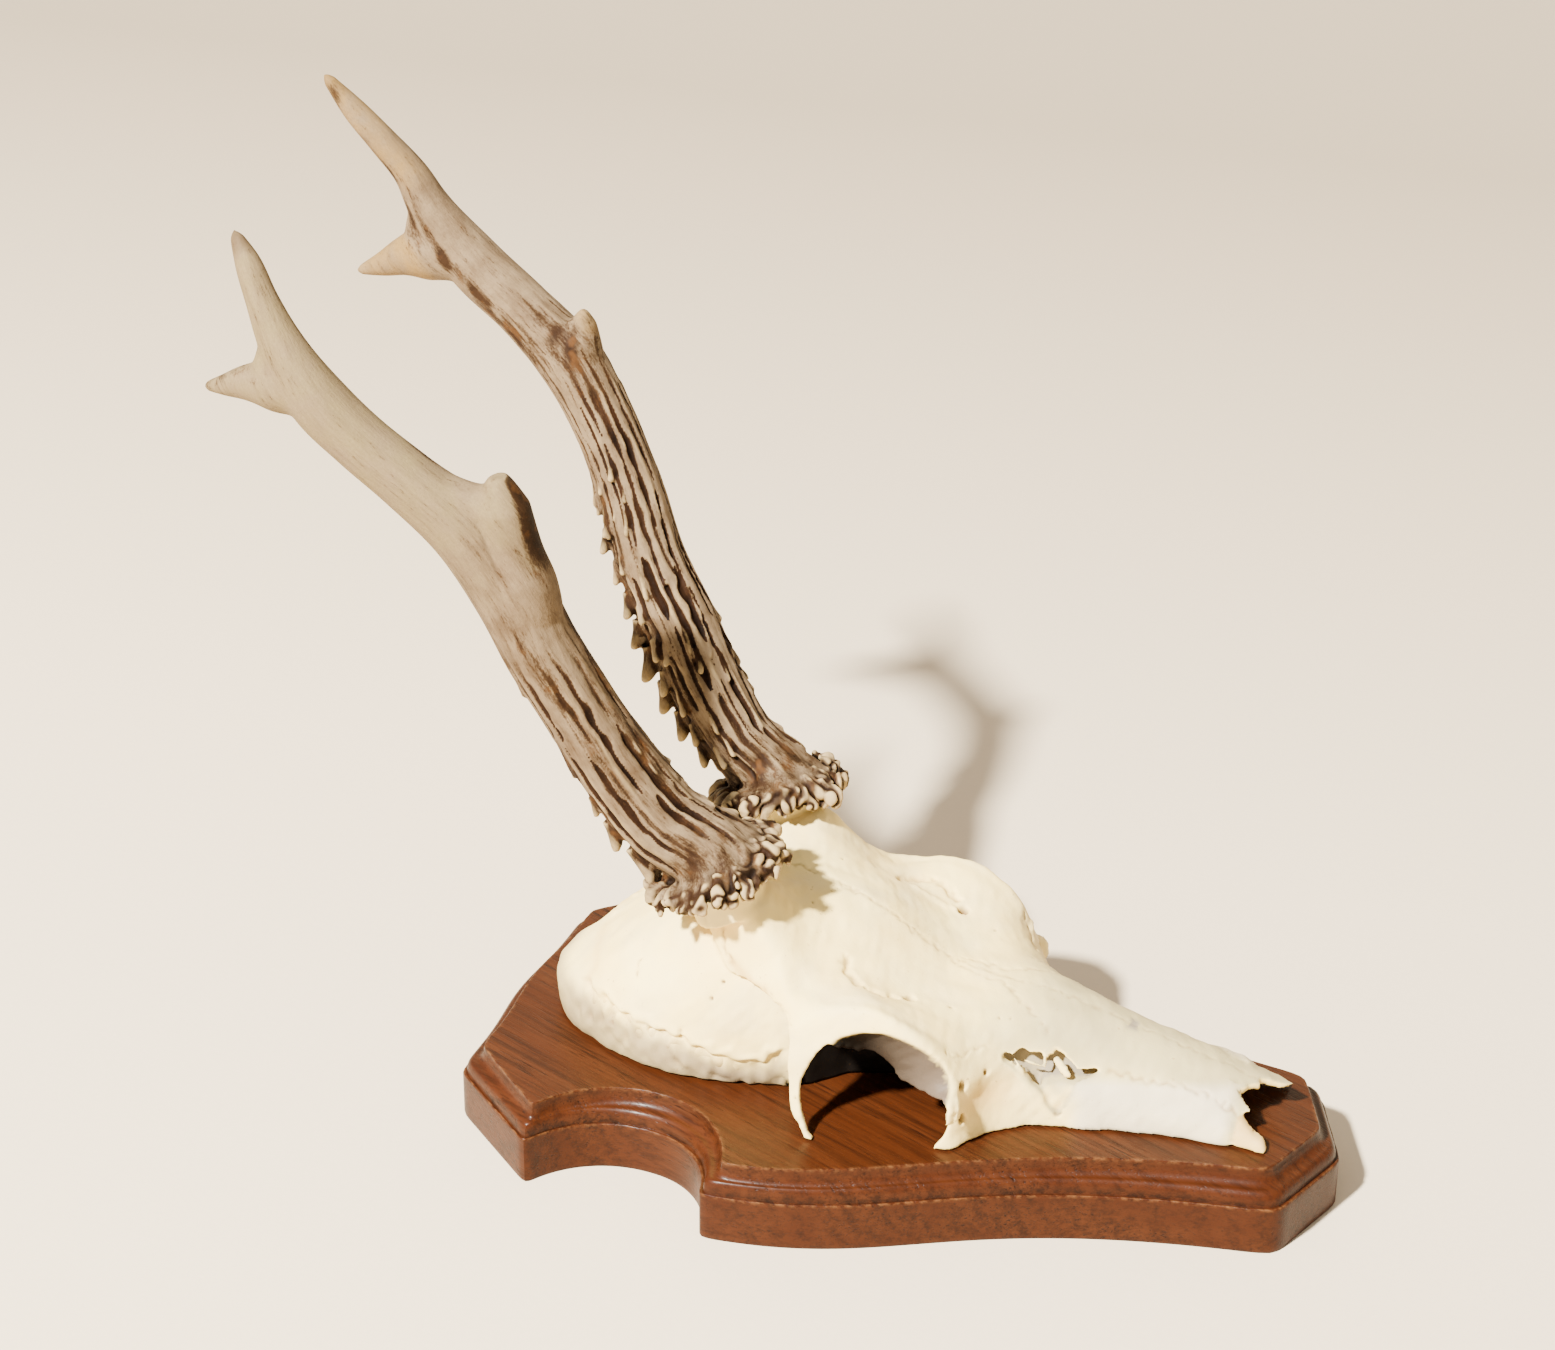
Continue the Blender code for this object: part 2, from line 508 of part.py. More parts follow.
def tine_rings(form, part):
    """Rings of a side tine: the root that stays on the beam, and the free end if it is split."""
    route = placed(form[part], form["side"])
    share = ROOT_SHARE[part]
    length = np.sum(np.linalg.norm(np.diff(route[:, :3], axis=0), axis=1))
    stations = np.linspace(0, share, 5)
    if share < 1.0:
        stations = np.concatenate([stations, np.linspace(share + GAP / length, 1.0, 6)])
    line, _, _, ring = sweep(route, stations, TINE_AROUND)
    flare = 1.0 + 0.25 * np.clip(1 - stations / share, 0, 1) ** 2
    rings = line[:, None, :3] + (line[:, 3] * flare)[:, None, None] * ring
    rings = np.concatenate([rings, rounded_tip(line, ring)])
    return (rings[:5], rings[5:]) if share < 1.0 else (rings, None)


def rounded_tip(line, ring):
    """Two last rings that close a tine's tip in a blunt dome."""
    ahead = line[-1, :3] - line[-2, :3]
    ahead /= np.linalg.norm(ahead)
    radius = line[-1, 3]
    return np.stack([line[-1, :3] + ahead * radius * rise + radius * wide * ring[-1]
                     for rise, wide in ((0.4, 0.8), (0.7, 0.35))])


def make_top_tine(name, form, collection, material):
    """Upper end of the beam above the rear fork."""
    joint = form["beam"][-1]
    route = placed((joint,) + form["top"], form["side"])
    beam = placed(form["beam"][-2:], form["side"])
    along = beam[1, :3] - beam[0, :3]
    along /= np.linalg.norm(along)
    route[0, :3] += GAP * along
    line, _, _, ring = sweep(route, 12, 14, along)
    rings = line[:, None, :3] + line[:, 3][:, None, None] * ring
    return capped_tube(name, np.concatenate([rings, rounded_tip(line, ring)]), collection, material)


def make_antler(label, form, collection, tools, material):
    """One antler in three pieces, split at its rear fork; the short front tine is on the beam."""
    make_beam(label + "_antler_beam", form, collection, tools, material)
    capped_tube(label + "_antler_rear_tine", tine_rings(form, "rear")[1], collection, material)
    make_top_tine(label + "_antler_top_tine", form, collection, material)


def main():
    clear_scene()
    parts = new_collection("roe_buck_trophy")
    tools = new_collection("shaping_tools")
    oak = make_material("Stained oak", (0.29, 0.10, 0.035), 0.4)
    bone = make_material("Bleached bone", (0.86, 0.82, 0.72), 0.6)
    antler = make_material("Antler", (0.46, 0.33, 0.20), 0.6)
    make_board(parts, oak)
    make_skull(parts, tools, bone)
    make_antler("right", RIGHT, parts, tools, antler)
    make_antler("left", LEFT, parts, tools, antler)


main()
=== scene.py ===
"""Roe buck trophy: bleached skull and grown antlers on a moulded, stained oak shield.

Every surface is worked out in millimetres in the frame's own axes: +X towards the nose, +Z up,
the animal's right side at -Y, and the middle of the shield's flat back at the origin.
"""

import math

import bpy
import numpy as np
from bpy.props import FloatProperty, FloatVectorProperty, PointerProperty
from mathutils import Matrix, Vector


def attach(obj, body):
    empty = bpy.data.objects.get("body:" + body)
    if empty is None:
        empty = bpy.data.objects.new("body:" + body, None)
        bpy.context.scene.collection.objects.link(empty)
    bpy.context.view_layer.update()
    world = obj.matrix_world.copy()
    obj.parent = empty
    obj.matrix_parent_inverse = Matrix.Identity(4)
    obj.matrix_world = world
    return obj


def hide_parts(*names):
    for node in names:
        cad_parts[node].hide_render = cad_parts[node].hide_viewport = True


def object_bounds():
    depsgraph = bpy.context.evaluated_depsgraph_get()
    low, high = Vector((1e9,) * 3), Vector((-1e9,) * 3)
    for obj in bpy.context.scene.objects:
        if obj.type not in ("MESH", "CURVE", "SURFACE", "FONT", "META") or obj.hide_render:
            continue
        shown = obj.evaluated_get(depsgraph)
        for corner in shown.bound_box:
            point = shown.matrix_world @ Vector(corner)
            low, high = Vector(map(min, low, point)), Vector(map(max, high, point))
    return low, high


bl_info = {
    "name": "Roe Buck Trophy",
    "version": (1, 0, 0),
    "blender": (4, 5, 0),
    "location": "View3D > Sidebar > Trophy",
    "description": "Skull and antlers of a roe buck on a moulded oak shield",
    "category": "Add Mesh",
}

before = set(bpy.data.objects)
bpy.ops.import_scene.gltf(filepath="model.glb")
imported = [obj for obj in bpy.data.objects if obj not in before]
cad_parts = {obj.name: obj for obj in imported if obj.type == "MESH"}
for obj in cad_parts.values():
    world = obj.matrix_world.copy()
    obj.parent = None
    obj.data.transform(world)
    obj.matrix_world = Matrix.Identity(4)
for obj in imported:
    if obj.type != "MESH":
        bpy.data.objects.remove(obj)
CAD_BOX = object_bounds()
MM = 0.001
MOST_TRIANGLES = 190000        # of one piece

# Shield. Outlines run from the nose tip round the +Y side to the middle of the back end. Each side is
# a cubic from nose to shoulder, whose handles are reach_in and reach_out.
BOARD_TOP = 22.0
BACK_EDGE = -109.7             # x of the back edge of the board's flat top
LEDGE = 13.4                   # height of the ledge below the moulding
BACK_BULGE = 1.7               # the back end swells by this in its middle,
BACK_DIP = 0.6                 # and dips by this on either side
COVE_CENTRE = (-59.3, 72.7)
OUTER = dict(tip=(116.1, 0.0), nose=(105.3, 28.5), shoulder=(-35.8, 71.5), ear=(-86.9, 65.1),
             back=(-116.1, 40.0), reach_out=(54.0, -2.5), reach_in=(88.0, 11.3))
INNER = dict(tip=(110.0, 0.0), nose=(101.0, 23.2), shoulder=(-30.7, 67.9), ear=(-86.2, 60.1),
             back=(-109.9, 38.5), reach_out=(38.0, -2.0), reach_in=(74.0, 10.5))
WIDEST = round(CAD_BOX[1][1] / MM, 3) - 0.05   # the worn shoulders stay inside the board's half width

# Skull. Stations along x are measured from the back edge of the board's top.
SAW = 22.3                     # height of the saw cut
FACE_WALL = 2.1
BRAINCASE_WALL = 2.2
FACE_START = 44.0              # the face's surface runs between these stations
FACE_END = 212.0
SECTION_FOOT = 18.0            # height at which the sections end, below the saw cut
SIDE_STEP = 0.5                # step in height of the table of the face's side
# Face: a station, then six control points of its half section: distance from the middle plane, height.
FACE = (
    (44.0, (0, 57.5), (9, 57.0), (16, 54.0), (21, 49.0), (25, 42.0), (28, 18)),
    (50.0, (0, 64.4), (9, 64.0), (17, 61.6), (23, 56.0), (27.5, 46.0), (31, 18)),
    (56.0, (0, 68.6), (10, 70.0), (18, 71.0), (24.5, 67.0), (28, 54.0), (32, 18)),
    (61.0, (0, 71.0), (10, 73.2), (18, 75.6), (25.5, 74.2), (28.5, 61.0), (34, 18)),
    (68.0, (0, 72.0), (11, 74.0), (20, 77.2), (28.5, 75.6), (32, 60.0), (42, 18)),
    (75.0, (0, 72.0), (11, 73.0), (21, 75.6), (30, 73.0), (34.5, 56.0), (48, 18)),
    (82.0, (0, 70.8), (12, 70.0), (22, 69.5), (31, 66.3), (39, 54.5), (51, 18)),
    (89.0, (0, 68.8), (12, 66.9), (23, 63.3), (34, 59.5), (44, 52.0), (51.5, 18)),
    (97.0, (0, 65.5), (12, 63.5), (24, 60.0), (37, 57.5), (44.5, 53.0), (52.5, 18)),
    (105.0, (0, 61.3), (12, 59.0), (24, 56.5), (38, 59.0), (44.3, 53.5), (52, 18)),
    (112.0, (0, 56.6), (11, 55.0), (24, 53.8), (38, 58.0), (44, 54.0), (50, 18)),
    (119.0, (0, 52.6), (11, 51.8), (24, 52.3), (37, 54.6), (43.4, 52.2), (47, 18)),
    (127.0, (0, 51.2), (11, 50.5), (22, 50.2), (34, 49.4), (41.8, 46.6), (44.6, 18)),
    (133.0, (0, 50.3), (11, 49.4), (20, 47.8), (30, 44.0), (38.5, 38.0), (43.5, 18)),
    (139.0, (0, 49.6), (10, 48.5), (17.5, 45.8), (25, 40.5), (30.5, 33.5), (34, 18)),
    (147.0, (0, 48.7), (8.5, 47.3), (14.5, 43.6), (20, 38.0), (24.5, 31.0), (27.5, 18)),
    (159.0, (0, 45.8), (7, 44.6), (12.5, 40.6), (17.5, 34.5), (21, 28.5), (23.5, 18)),
    (170.0, (0, 42.4), (6, 41.4), (11, 38.2), (15.5, 32.5), (18.3, 27.5), (20, 18)),
    (186.0, (0, 38.3), (5.5, 37.4), (10, 34.8), (14, 30.0), (16.3, 26.0), (17.6, 18)),
    (198.0, (0, 35.0), (5, 34.2), (9.5, 32.0), (13.5, 28.3), (16, 25.0), (17.8, 18)),
    (209.0, (0, 31.5), (4.5, 31.0), (9, 29.3), (13.5, 26.5), (16.5, 24.0), (18.7, 18)),
)
# Braincase: station, half width, and the heights of its top, middle and bottom.
BRAINCASE = (
    (9.4, 0.4, 30.4, 30.0, 29.6), (10.2, 5.4, 32.2, 30.0, 27.4), (12.0, 10.4, 33.8, 30.0, 23.0),
    (14.8, 14.8, 36.2, 30.0, 17.2), (19.4, 20.0, 40.2, 30.5, 13.0), (28.0, 26.0, 47.4, 31.0, 10.5),
    (40.0, 31.6, 56.8, 31.5, 9.0), (57.0, 34.7, 67.4, 33.0, 9.5), (71.0, 33.2, 70.3, 34.0, 11.0),
    (80.0, 31.0, 68.0, 34.0, 12.0), (86.5, 29.5, 65.5, 34.0, 12.0))
BRAINCASE_FULLNESS = 2.4       # 2 is an ellipse, more is boxier
# What is cut away in side view, x and z: the temple, the eye socket, the front of the upper jaw.
TEMPLE = ((50.0, 74.0), (57.0, 68.5), (61.0, 64.3), (68.0, 56.5), (74.0, 55.5), (81.0, 54.7),
          (86.5, 53.8), (88.7, 51.0), (89.3, 45.0), (90.0, 36.0), (90.9, 30.0), (92.2, 27.4),
          (93.9, 26.2), (94.6, 24.0), (96.4, 20.0), (96.4, 5.0), (44.0, 5.0), (44.0, 74.0))
ORBIT_CENTRE = (112.9, 34.3)
ORBIT_RADIUS = 19.4
PAST_NOSE = 225.0              # station that is clear of the nose
JAW_CUT = ((208.9, 15.0), (208.7, 22.5), (207.3, 24.8), (205.4, 25.6), (203.4, 26.6), (201.6, 28.2),
           (199.3, 29.5), (PAST_NOSE, 29.5), (PAST_NOSE, 15.0))
# Front edge of the nasal bones from above: toothed at the animal's right, a long tip at its left.
NOSE_EDGE = ((199.0, -14.0), (199.2, -12.2), (203.6, -10.2), (198.4, -6.8), (200.4, -5.0), (201.0, -3.6),
             (203.4, -1.6), (202.6, 0.4), (204.4, 1.8), (208.0, 3.2), (211.4, 6.2), (206.0, 8.8),
             (201.2, 11.4), (199.0, 14.0))
NOSE_CUT_BOTTOM = 29.3
# Each side cut's nearest and farthest place from the middle plane.
SIDE_CUTS = dict(temple=(20.0, 75.0), orbit=(38.5, 75.0), gap=(8.0, 40.0))
# Ragged gap beside the nose in side view; thin leaves hang from its upper edge.
SIDE_GAP = ((139.7, 39.8), (139.8, 41.2), (140.8, 41.1), (141.4, 40.2), (142.6, 40.1), (144.1, 41.5),
            (144.6, 40.8), (145.7, 40.2), (147.6, 39.6), (148.8, 39.9), (150.6, 39.0), (152.0, 40.4),
            (154.3, 39.3), (156.5, 37.3), (158.5, 36.0), (160.6, 35.9), (164.2, 36.6), (164.3, 35.8),
            (162.2, 35.0), (160.2, 34.2), (158.9, 32.5), (158.3, 30.7), (156.6, 27.8), (154.9, 25.6),
            (152.9, 27.0), (151.5, 28.9), (150.6, 31.2), (148.4, 33.0), (146.5, 34.8), (145.4, 36.7),
            (143.1, 37.4), (141.2, 38.6))
# Leaves: x and z of the root, x and z of the tip, half width.
LEAVES = ((142.0, 40.2, 146.0, 36.4, 0.45), (144.6, 38.9, 149.7, 37.1, 0.8),
          (149.4, 39.8, 150.5, 36.6, 0.5), (151.9, 38.9, 157.2, 34.3, 1.6))
# Inner edge of the eye socket's wall: angle of the rim point it grows from, x, distance out, z.
SOCKET_EDGE = ((128, 101.4, 46.0, 48.6), (118, 103.8, 41.0, 45.5), (112, 106.0, 38.5, 44.3),
               (97, 110.6, 38.5, 44.5), (82, 113.7, 38.0, 42.0), (66, 117.0, 38.0, 37.9),
               (50, 120.5, 39.0, 36.9), (37, 124.0, 40.0, 36.6), (24, 127.8, 42.0, 36.4),
               (14, 130.3, 43.5, 37.4), (3, 132.0, 45.6, 35.6), (-8, 132.2, 47.0, 31.6))
# Inner wall behind the socket, a sheet that blocks light and whose near-black colour is painted shade: x,
# distance from the middle plane, and height of its top.
SEPTUM_SHADE_WALL = ((82.0, 29.0, 58.0), (88.0, 25.5, 58.0), (96.0, 17.0, 57.0), (110.0, 12.0, 53.0),
          (124.0, 10.0, 48.6), (136.0, 10.0, 46.0))
# Upper lip of the rough, lower part of the braincase: x and z.
WRINKLE = ((20.0, 39.4), (24.1, 39.2), (30.0, 39.0), (34.4, 38.6), (37.5, 37.4), (40.9, 38.7),
           (44.3, 36.6), (48.1, 37.2), (52.7, 36.6), (57.0, 36.4), (61.0, 34.4), (66.3, 32.6),
           (74.2, 31.6), (78.3, 32.2), (82.2, 36.6))
# Lines of yellowed bone: along the temple's edge, and the crest at the back of the braincase.
TEMPLE_LINE = ((69.0, 32.6, 59.5), (72.0, 33.6, 57.2), (76.0, 34.8, 55.2), (80.0, 37.3, 55.3))
NAPE_LINE = ((20.7, 3.1, 46.0), (22.5, 12.0, 46.4), (24.7, 19.0, 45.4), (26.0, 23.5, 42.8),
             (24.1, 24.4, 39.2))

# Antlers. Route points: x from the board's back edge, distance from the middle plane, height, radius.
# Each lean is the degrees that the burr leans back, and how far it leans outwards, as a slope. Channels
# lie in so many lanes and reach up to a place along the beam, and ivory sets in between two places.
# Wash is the level above which brown streaks show. Shade, on one antler only, is painted shade on a knob's
# side away from the light, carried with the stains: the way it faces, the heights where it sets in, and the
# x behind which it stops.
BURR_RADIUS = 16.6
BURR_DEPTH = 3.5
BURR_TOP = 2.2                 # the line leaves the burr square to it up to here
BURR_EASE = 9.5                # and turns into its route by here
# The burr's flare: places along the beam, and the share of the way from its radius to the burr's.
BURR_FLARE = ((0.0, 1.0, 2.6, 4.8, 6.0, 7.6, 9.6, 12.0), (0.0, 0.72, 0.95, 0.90, 0.55, 0.26, 0.09, 0.0))
# Rows of the burr's knobs: number, reach, upper and lower place along the beam, thickness.
BURR_ROWS = ((19, 17.6, 4.4, 2.4, 1.4), (23, 18.2, 3.6, 0.2, 1.5), (20, 16.4, 2.4, -1.6, 1.4))
PEDICLE_RADIUS = 9.6
PEDICLE_LENGTH = 10.0
RIGHT = dict(
    label="right", side=-1.0, lean=(19.5, 0.09), seed=4, reach=92.0, lanes=16, ivory=(96.0, 124.0),
    wash=0.71,
    shade=dict(facing=(0.88, 0.42, 0.22), height=(160.0, 176.0), back=-101.0),
    # Hooks, the biggest pearls: place, angle, size. Pearls: number, angle, its spread, places, size.
    hooks=((9, 114, 2.0), (16, 119, 2.5), (24, 114, 2.4), (33, 117, 1.5), (44, 114, 1.0)),
    pearls=((5, 105, 10, 30, 70, 0.7), (6, 297, 9, 9, 40, 0.8), (18, 15, 30, 8, 90, 1.1)),
    # Stains: place along, angle, length, width, strength.
    stains=((134, 296, 12, 13, 0.7), (84, 187, 24, 7, 0.5), (60, 200, 26, 14, 0.42),
            (40, 112, 44, 20, 1.0), (66, 290, 46, 12, 0.8), (46, 262, 26, 16, 0.55),
            (10, 195, 7, 70, 0.6), (187, 85, 8, 34, 0.6)),
    # Webs: points of a body that fills a fork, as in the routes.
    webs=(((11.0, 41.4, 181.5, 5.8), (2.0, 42.4, 183.2, 5.3), (-9.0, 44.0, 187.0, 6.2)),
          ((-34.0, 46.8, 208.0, 6.8), (-45.0, 46.6, 212.0, 5.8), (-48.0, 45.6, 220.0, 4.4))),
    forks=((-44.0, 46.5, 213.0, 12.0), (1.0, 42.0, 187.0, 9.0)),
    beam=((61.5, 25.0, 82.6, 11.0), (48.3, 27.0, 94.2, 11.0), (37.0, 29.5, 109.0, 10.6),
          (28.5, 32.0, 124.0, 9.9), (19.5, 35.0, 141.0, 9.9), (12.0, 38.0, 158.5, 9.9),
          (1.5, 41.5, 175.5, 9.2), (-12.0, 44.5, 187.5, 7.8), (-24.0, 46.0, 197.0, 7.4),
          (-34.5, 47.0, 207.0, 7.4), (-43.5, 46.3, 219.5, 5.7), (-49.0, 44.5, 229.5, 4.1),
          (-53.5, 42.5, 238.5, 3.2), (-57.5, 41.0, 245.5, 1.2)),
    front=((19.6, 35.6, 141.0, 4.0), (17.8, 36.8, 149.8, 7.6), (15.3, 38.5, 160.0, 9.2),
           (13.6, 40.0, 170.2, 7.9), (12.2, 41.2, 180.4, 7.2), (11.2, 41.9, 191.0, 6.2)),
    rear=((-33.0, 47.0, 207.0, 6.0), (-45.0, 46.8, 209.0, 6.1), (-53.0, 46.4, 208.4, 4.7),
          (-60.0, 45.8, 206.6, 2.8), (-66.2, 45.0, 205.1, 1.0)))
LEFT = dict(
    label="left", side=1.0, lean=(12.0, 0.14), seed=11, reach=166.0, lanes=20, ivory=(196.0, 214.0),
    wash=0.76, shade=None,
    hooks=((12, 128, 1.9), (20, 122, 2.2), (28, 124, 2.6), (36, 119, 2.8), (45, 122, 3.0),
           (54, 118, 2.8), (63, 121, 2.2), (72, 117, 1.7), (80, 121, 2.0), (90, 118, 1.3),
           (25, 148, 1.8), (33, 158, 1.6), (40, 145, 2.0), (49, 152, 1.9), (47, 172, 1.5),
           (60, 148, 1.5), (74, 152, 1.2), (84, 142, 1.5), (17, 165, 1.6), (96, 150, 1.0)),
    pearls=((14, 150, 22, 10, 100, 1.0), (16, 95, 12, 12, 100, 1.6), (8, 220, 30, 8, 70, 0.9),
            (10, 300, 8, 8, 55, 0.9), (14, 60, 20, 8, 95, 1.3)),
    stains=((134, 222, 13, 34, 0.8), (168, 165, 22, 15, 0.85), (196, 140, 16, 15, 0.8),
            (26, 132, 30, 50, 0.78), (70, 132, 40, 30, 0.75), (10, 190, 8, 110, 0.6),
            (150, 150, 16, 22, 0.8), (226, 200, 6, 90, 0.4)),
    webs=(((-1.0, 42.0, 193.0, 4.8), (-8.0, 43.2, 193.5, 5.0), (-16.0, 44.2, 199.5, 6.0)),
          ((-36.0, 46.0, 215.0, 7.2), (-46.5, 45.8, 218.0, 6.2), (-49.5, 45.4, 227.0, 5.0))),
    forks=((-46.0, 46.0, 218.0, 12.0), (-5.0, 42.5, 191.0, 11.0)),
    beam=((60.6, 25.0, 80.7, 8.8), (48.9, 27.0, 93.0, 9.5), (37.8, 30.0, 107.2, 10.3),
          (28.9, 33.0, 123.2, 10.0), (20.3, 35.5, 138.2, 9.5), (12.0, 39.0, 159.5, 8.9),
          (4.5, 41.0, 174.5, 8.8), (-4.5, 43.0, 188.0, 9.0), (-18.5, 44.5, 200.5, 7.9),
          (-34.0, 46.0, 212.0, 7.7), (-46.5, 45.7, 226.5, 5.9), (-51.0, 45.0, 235.0, 4.6),
          (-58.0, 43.5, 243.5, 3.9), (-65.5, 42.5, 251.5, 3.2), (-73.3, 41.5, 260.7, 1.3)),
    front=((-1.5, 42.0, 180.0, 7.4), (-1.2, 42.2, 195.0, 5.2), (-0.6, 42.0, 204.0, 2.6)),
    rear=((-36.0, 46.0, 213.5, 7.3), (-47.5, 46.0, 213.2, 6.9), (-54.0, 45.8, 211.3, 5.4),
          (-60.0, 45.5, 208.6, 3.6), (-68.2, 45.0, 205.6, 1.0)))
TINE_SWELL = dict(front=0.0, rear=0.12)
SECTION = 128                  # points round an antler's main tube
BRANCH_SECTION = 56            # points round a tine or web
FORK_ROUNDS = 60               # of easing at the forks
BLOCK = 20000                  # points that are located at a time

# Stage, in millimetres: the table's near and far edge, the curve behind it, and the backdrop.
TABLE_NEAR = -1600.0
TABLE_FAR = 900.0
TABLE_HALF = 2600.0
SWEEP = 500.0
BACKDROP_FOOT = 700.0
BACKDROP_TOP = 1800.0
# Camera: place in metres; azimuth, elevation and roll in degrees; lens and sensor.
CAMERA_PLACE = (0.2154, -0.7262, 0.5068)
CAMERA_TURN = (19.39, 26.24, 0.42)
CAMERA_LENS = 76.82
CAMERA_SENSOR = 36.0
# Key lamp: direction from the object, distance and diameter in metres, power and colour.
KEY_DIRECTION = (-0.27, -0.645, 0.715)
KEY_DISTANCE = 3.0
KEY_DIAMETER = 0.19
KEY_POWER = 660.0
KEY_COLOUR = (1.0, 0.965, 0.90)
KEY_AIM = (0.0, 0.0, 0.05)
FILL_COLOUR = (1.0, 0.97, 0.94)
FILL_STRENGTH = 0.65


# ------------------------------------------------------------------ numbers and curves

def hermite(knots, values, at):
    """Cubic through values at knots; each knot's slope is the weighted mean of its two spans."""
    knots = np.asarray(knots, float)
    values = np.asarray(values, float).reshape(len(knots), -1)
    at = np.clip(np.asarray(at, float), knots[0], knots[-1])
    slopes = np.gradient(values, knots, axis=0)
    span = np.clip(np.searchsorted(knots, at, side="right") - 1, 0, len(knots) - 2)
    width = (knots[span + 1] - knots[span])[:, None]
    t = (at - knots[span])[:, None] / width
    blend = t * t * (3 - 2 * t)
    return (values[span] * (1 - blend) + values[span + 1] * blend
            + slopes[span] * width * (t ** 3 - 2 * t ** 2 + t)
            + slopes[span + 1] * width * (t ** 3 - t ** 2))


def fade(value, low, high):
    """Smooth step: 0 below low, 1 above high, with a cubic between."""
    t = np.clip((value - low) / (high - low), 0, 1)
    return t * t * (3 - 2 * t)


def ripple(points, wavelength, seed, waves=20):
    """Soft noise: the sum of plane waves in random directions, scaled to about -1..1."""
    rng = np.random.default_rng(seed)
    direction = rng.normal(size=(waves, points.shape[-1]))
    direction /= np.linalg.norm(direction, axis=1)[:, None]
    direction *= 2 * math.pi / wavelength * rng.uniform(0.7, 1.3, (waves, 1))
    phase = rng.uniform(0, 2 * math.pi, waves)
    return np.sin(points @ direction.T + phase).sum(-1) * math.sqrt(2 / waves) * 0.7


def soft_outline(corners, step, radius):
    """Closed outline with rounded corners: resampled evenly, then averaged over a short window."""
    ring = np.vstack([corners, corners[:1]]).astype(float)
    length = np.concatenate([[0], np.cumsum(np.linalg.norm(np.diff(ring, axis=0), axis=1))])
    count = int(length[-1] / step)
    at = np.linspace(0, length[-1], count, endpoint=False)
    points = np.column_stack([np.interp(at, length, ring[:, axis]) for axis in range(2)])
    reach = max(1, int(radius / step))
    weights = np.hanning(2 * reach + 3)[1:-1]
    weights /= weights.sum()
    shifted = [np.roll(points, offset, axis=0) * weight
               for offset, weight in zip(range(-reach, reach + 1), weights)]
    return np.sum(shifted, axis=0)


def distance_to_line(points, line):
    """Distance from each point to a polyline: the nearest of its segments."""
    best = np.full(len(points), 1e9)
    for start, end in zip(line[:-1], line[1:]):
        span = end - start
        t = np.clip(((points - start) @ span) / max(span @ span, 1e-9), 0, 1)
        gap = np.linalg.norm(points - start - t[:, None] * span, axis=1)
        best = np.minimum(best, gap)
    return best


# ------------------------------------------------------------------ meshes

def grid_quads(rows, columns, wrap):
    """Quads of a rows x columns grid, joined round its columns when wrap is set."""
    row = np.arange(rows - 1)[:, None]
    column = np.arange(columns if wrap else columns - 1)[None]
    after = (column + 1) % columns
    corners = (row * columns + column, row * columns + after,
               (row + 1) * columns + after, (row + 1) * columns + column)
    return np.stack(np.broadcast_arrays(*corners), -1).reshape(-1, 4)


def mesh_object(name, points, faces):
    """A new object from points in millimetres and a list of faces."""
    mesh = bpy.data.meshes.new(name)
    mesh.from_pydata((np.asarray(points, float) * MM).tolist(), [], [list(face) for face in faces])
    mesh.update()
    item = bpy.data.objects.new(name, mesh)
    bpy.context.scene.collection.objects.link(item)
    return item


def tube_parts(rings):
    """Points and faces of a closed tube: its rings, and a centre point at each end."""
    rows, columns = rings.shape[:2]
    points = np.vstack([rings.reshape(-1, 3), rings[0].mean(0), rings[-1].mean(0)])
    around = np.arange(columns)
    after = (around + 1) % columns
    first, last = rows * columns, rows * columns + 1
    top = (rows - 1) * columns
    faces = grid_quads(rows, columns, True).tolist()
    faces += np.stack([np.full(columns, first), after, around], 1).tolist()
    faces += np.stack([np.full(columns, last), top + around, top + after], 1).tolist()
    return points, faces


def outward(points, faces):
    """Faces turned round when the closed body's signed volume is negative."""
    corners = np.array([face[:3] for face in faces])
    a, b, c = points[corners[:, 0]], points[corners[:, 1]], points[corners[:, 2]]
    if np.einsum("ij,ij->i", a, np.cross(b, c)).sum() < 0:
        return [face[::-1] for face in faces]
    return faces


def joined(bodies):
    """One point list and one face list from several closed bodies."""
    points, faces, offset = [], [], 0
    for body_points, body_faces in bodies:
        body_faces = outward(body_points, body_faces)
        points.append(body_points)
        faces += [[corner + offset for corner in face] for face in body_faces]
        offset += len(body_points)
    return np.vstack(points), faces


def settle(item):
    """Replace an object's mesh by what its modifiers make of it."""
    graph = bpy.context.evaluated_depsgraph_get()
    mesh = bpy.data.meshes.new_from_object(item.evaluated_get(graph))
    old = item.data
    item.modifiers.clear()
    item.data = mesh
    bpy.data.meshes.remove(old)
    mesh.name = item.name
    return item


def skin_over(item, voxel):
    """Fuse overlapping closed bodies into one skin of small, even faces."""
    modifier = item.modifiers.new("Skin", "REMESH")
    modifier.mode = "VOXEL"
    modifier.voxel_size = voxel * MM
    return settle(item)


def solidify(item, thickness, offset=-1.0):
    """Give an open sheet a wall: inwards at offset -1, half to each side at 0."""
    modifier = item.modifiers.new("Wall", "SOLIDIFY")
    modifier.thickness = thickness * MM
    modifier.offset = offset
    return settle(item)


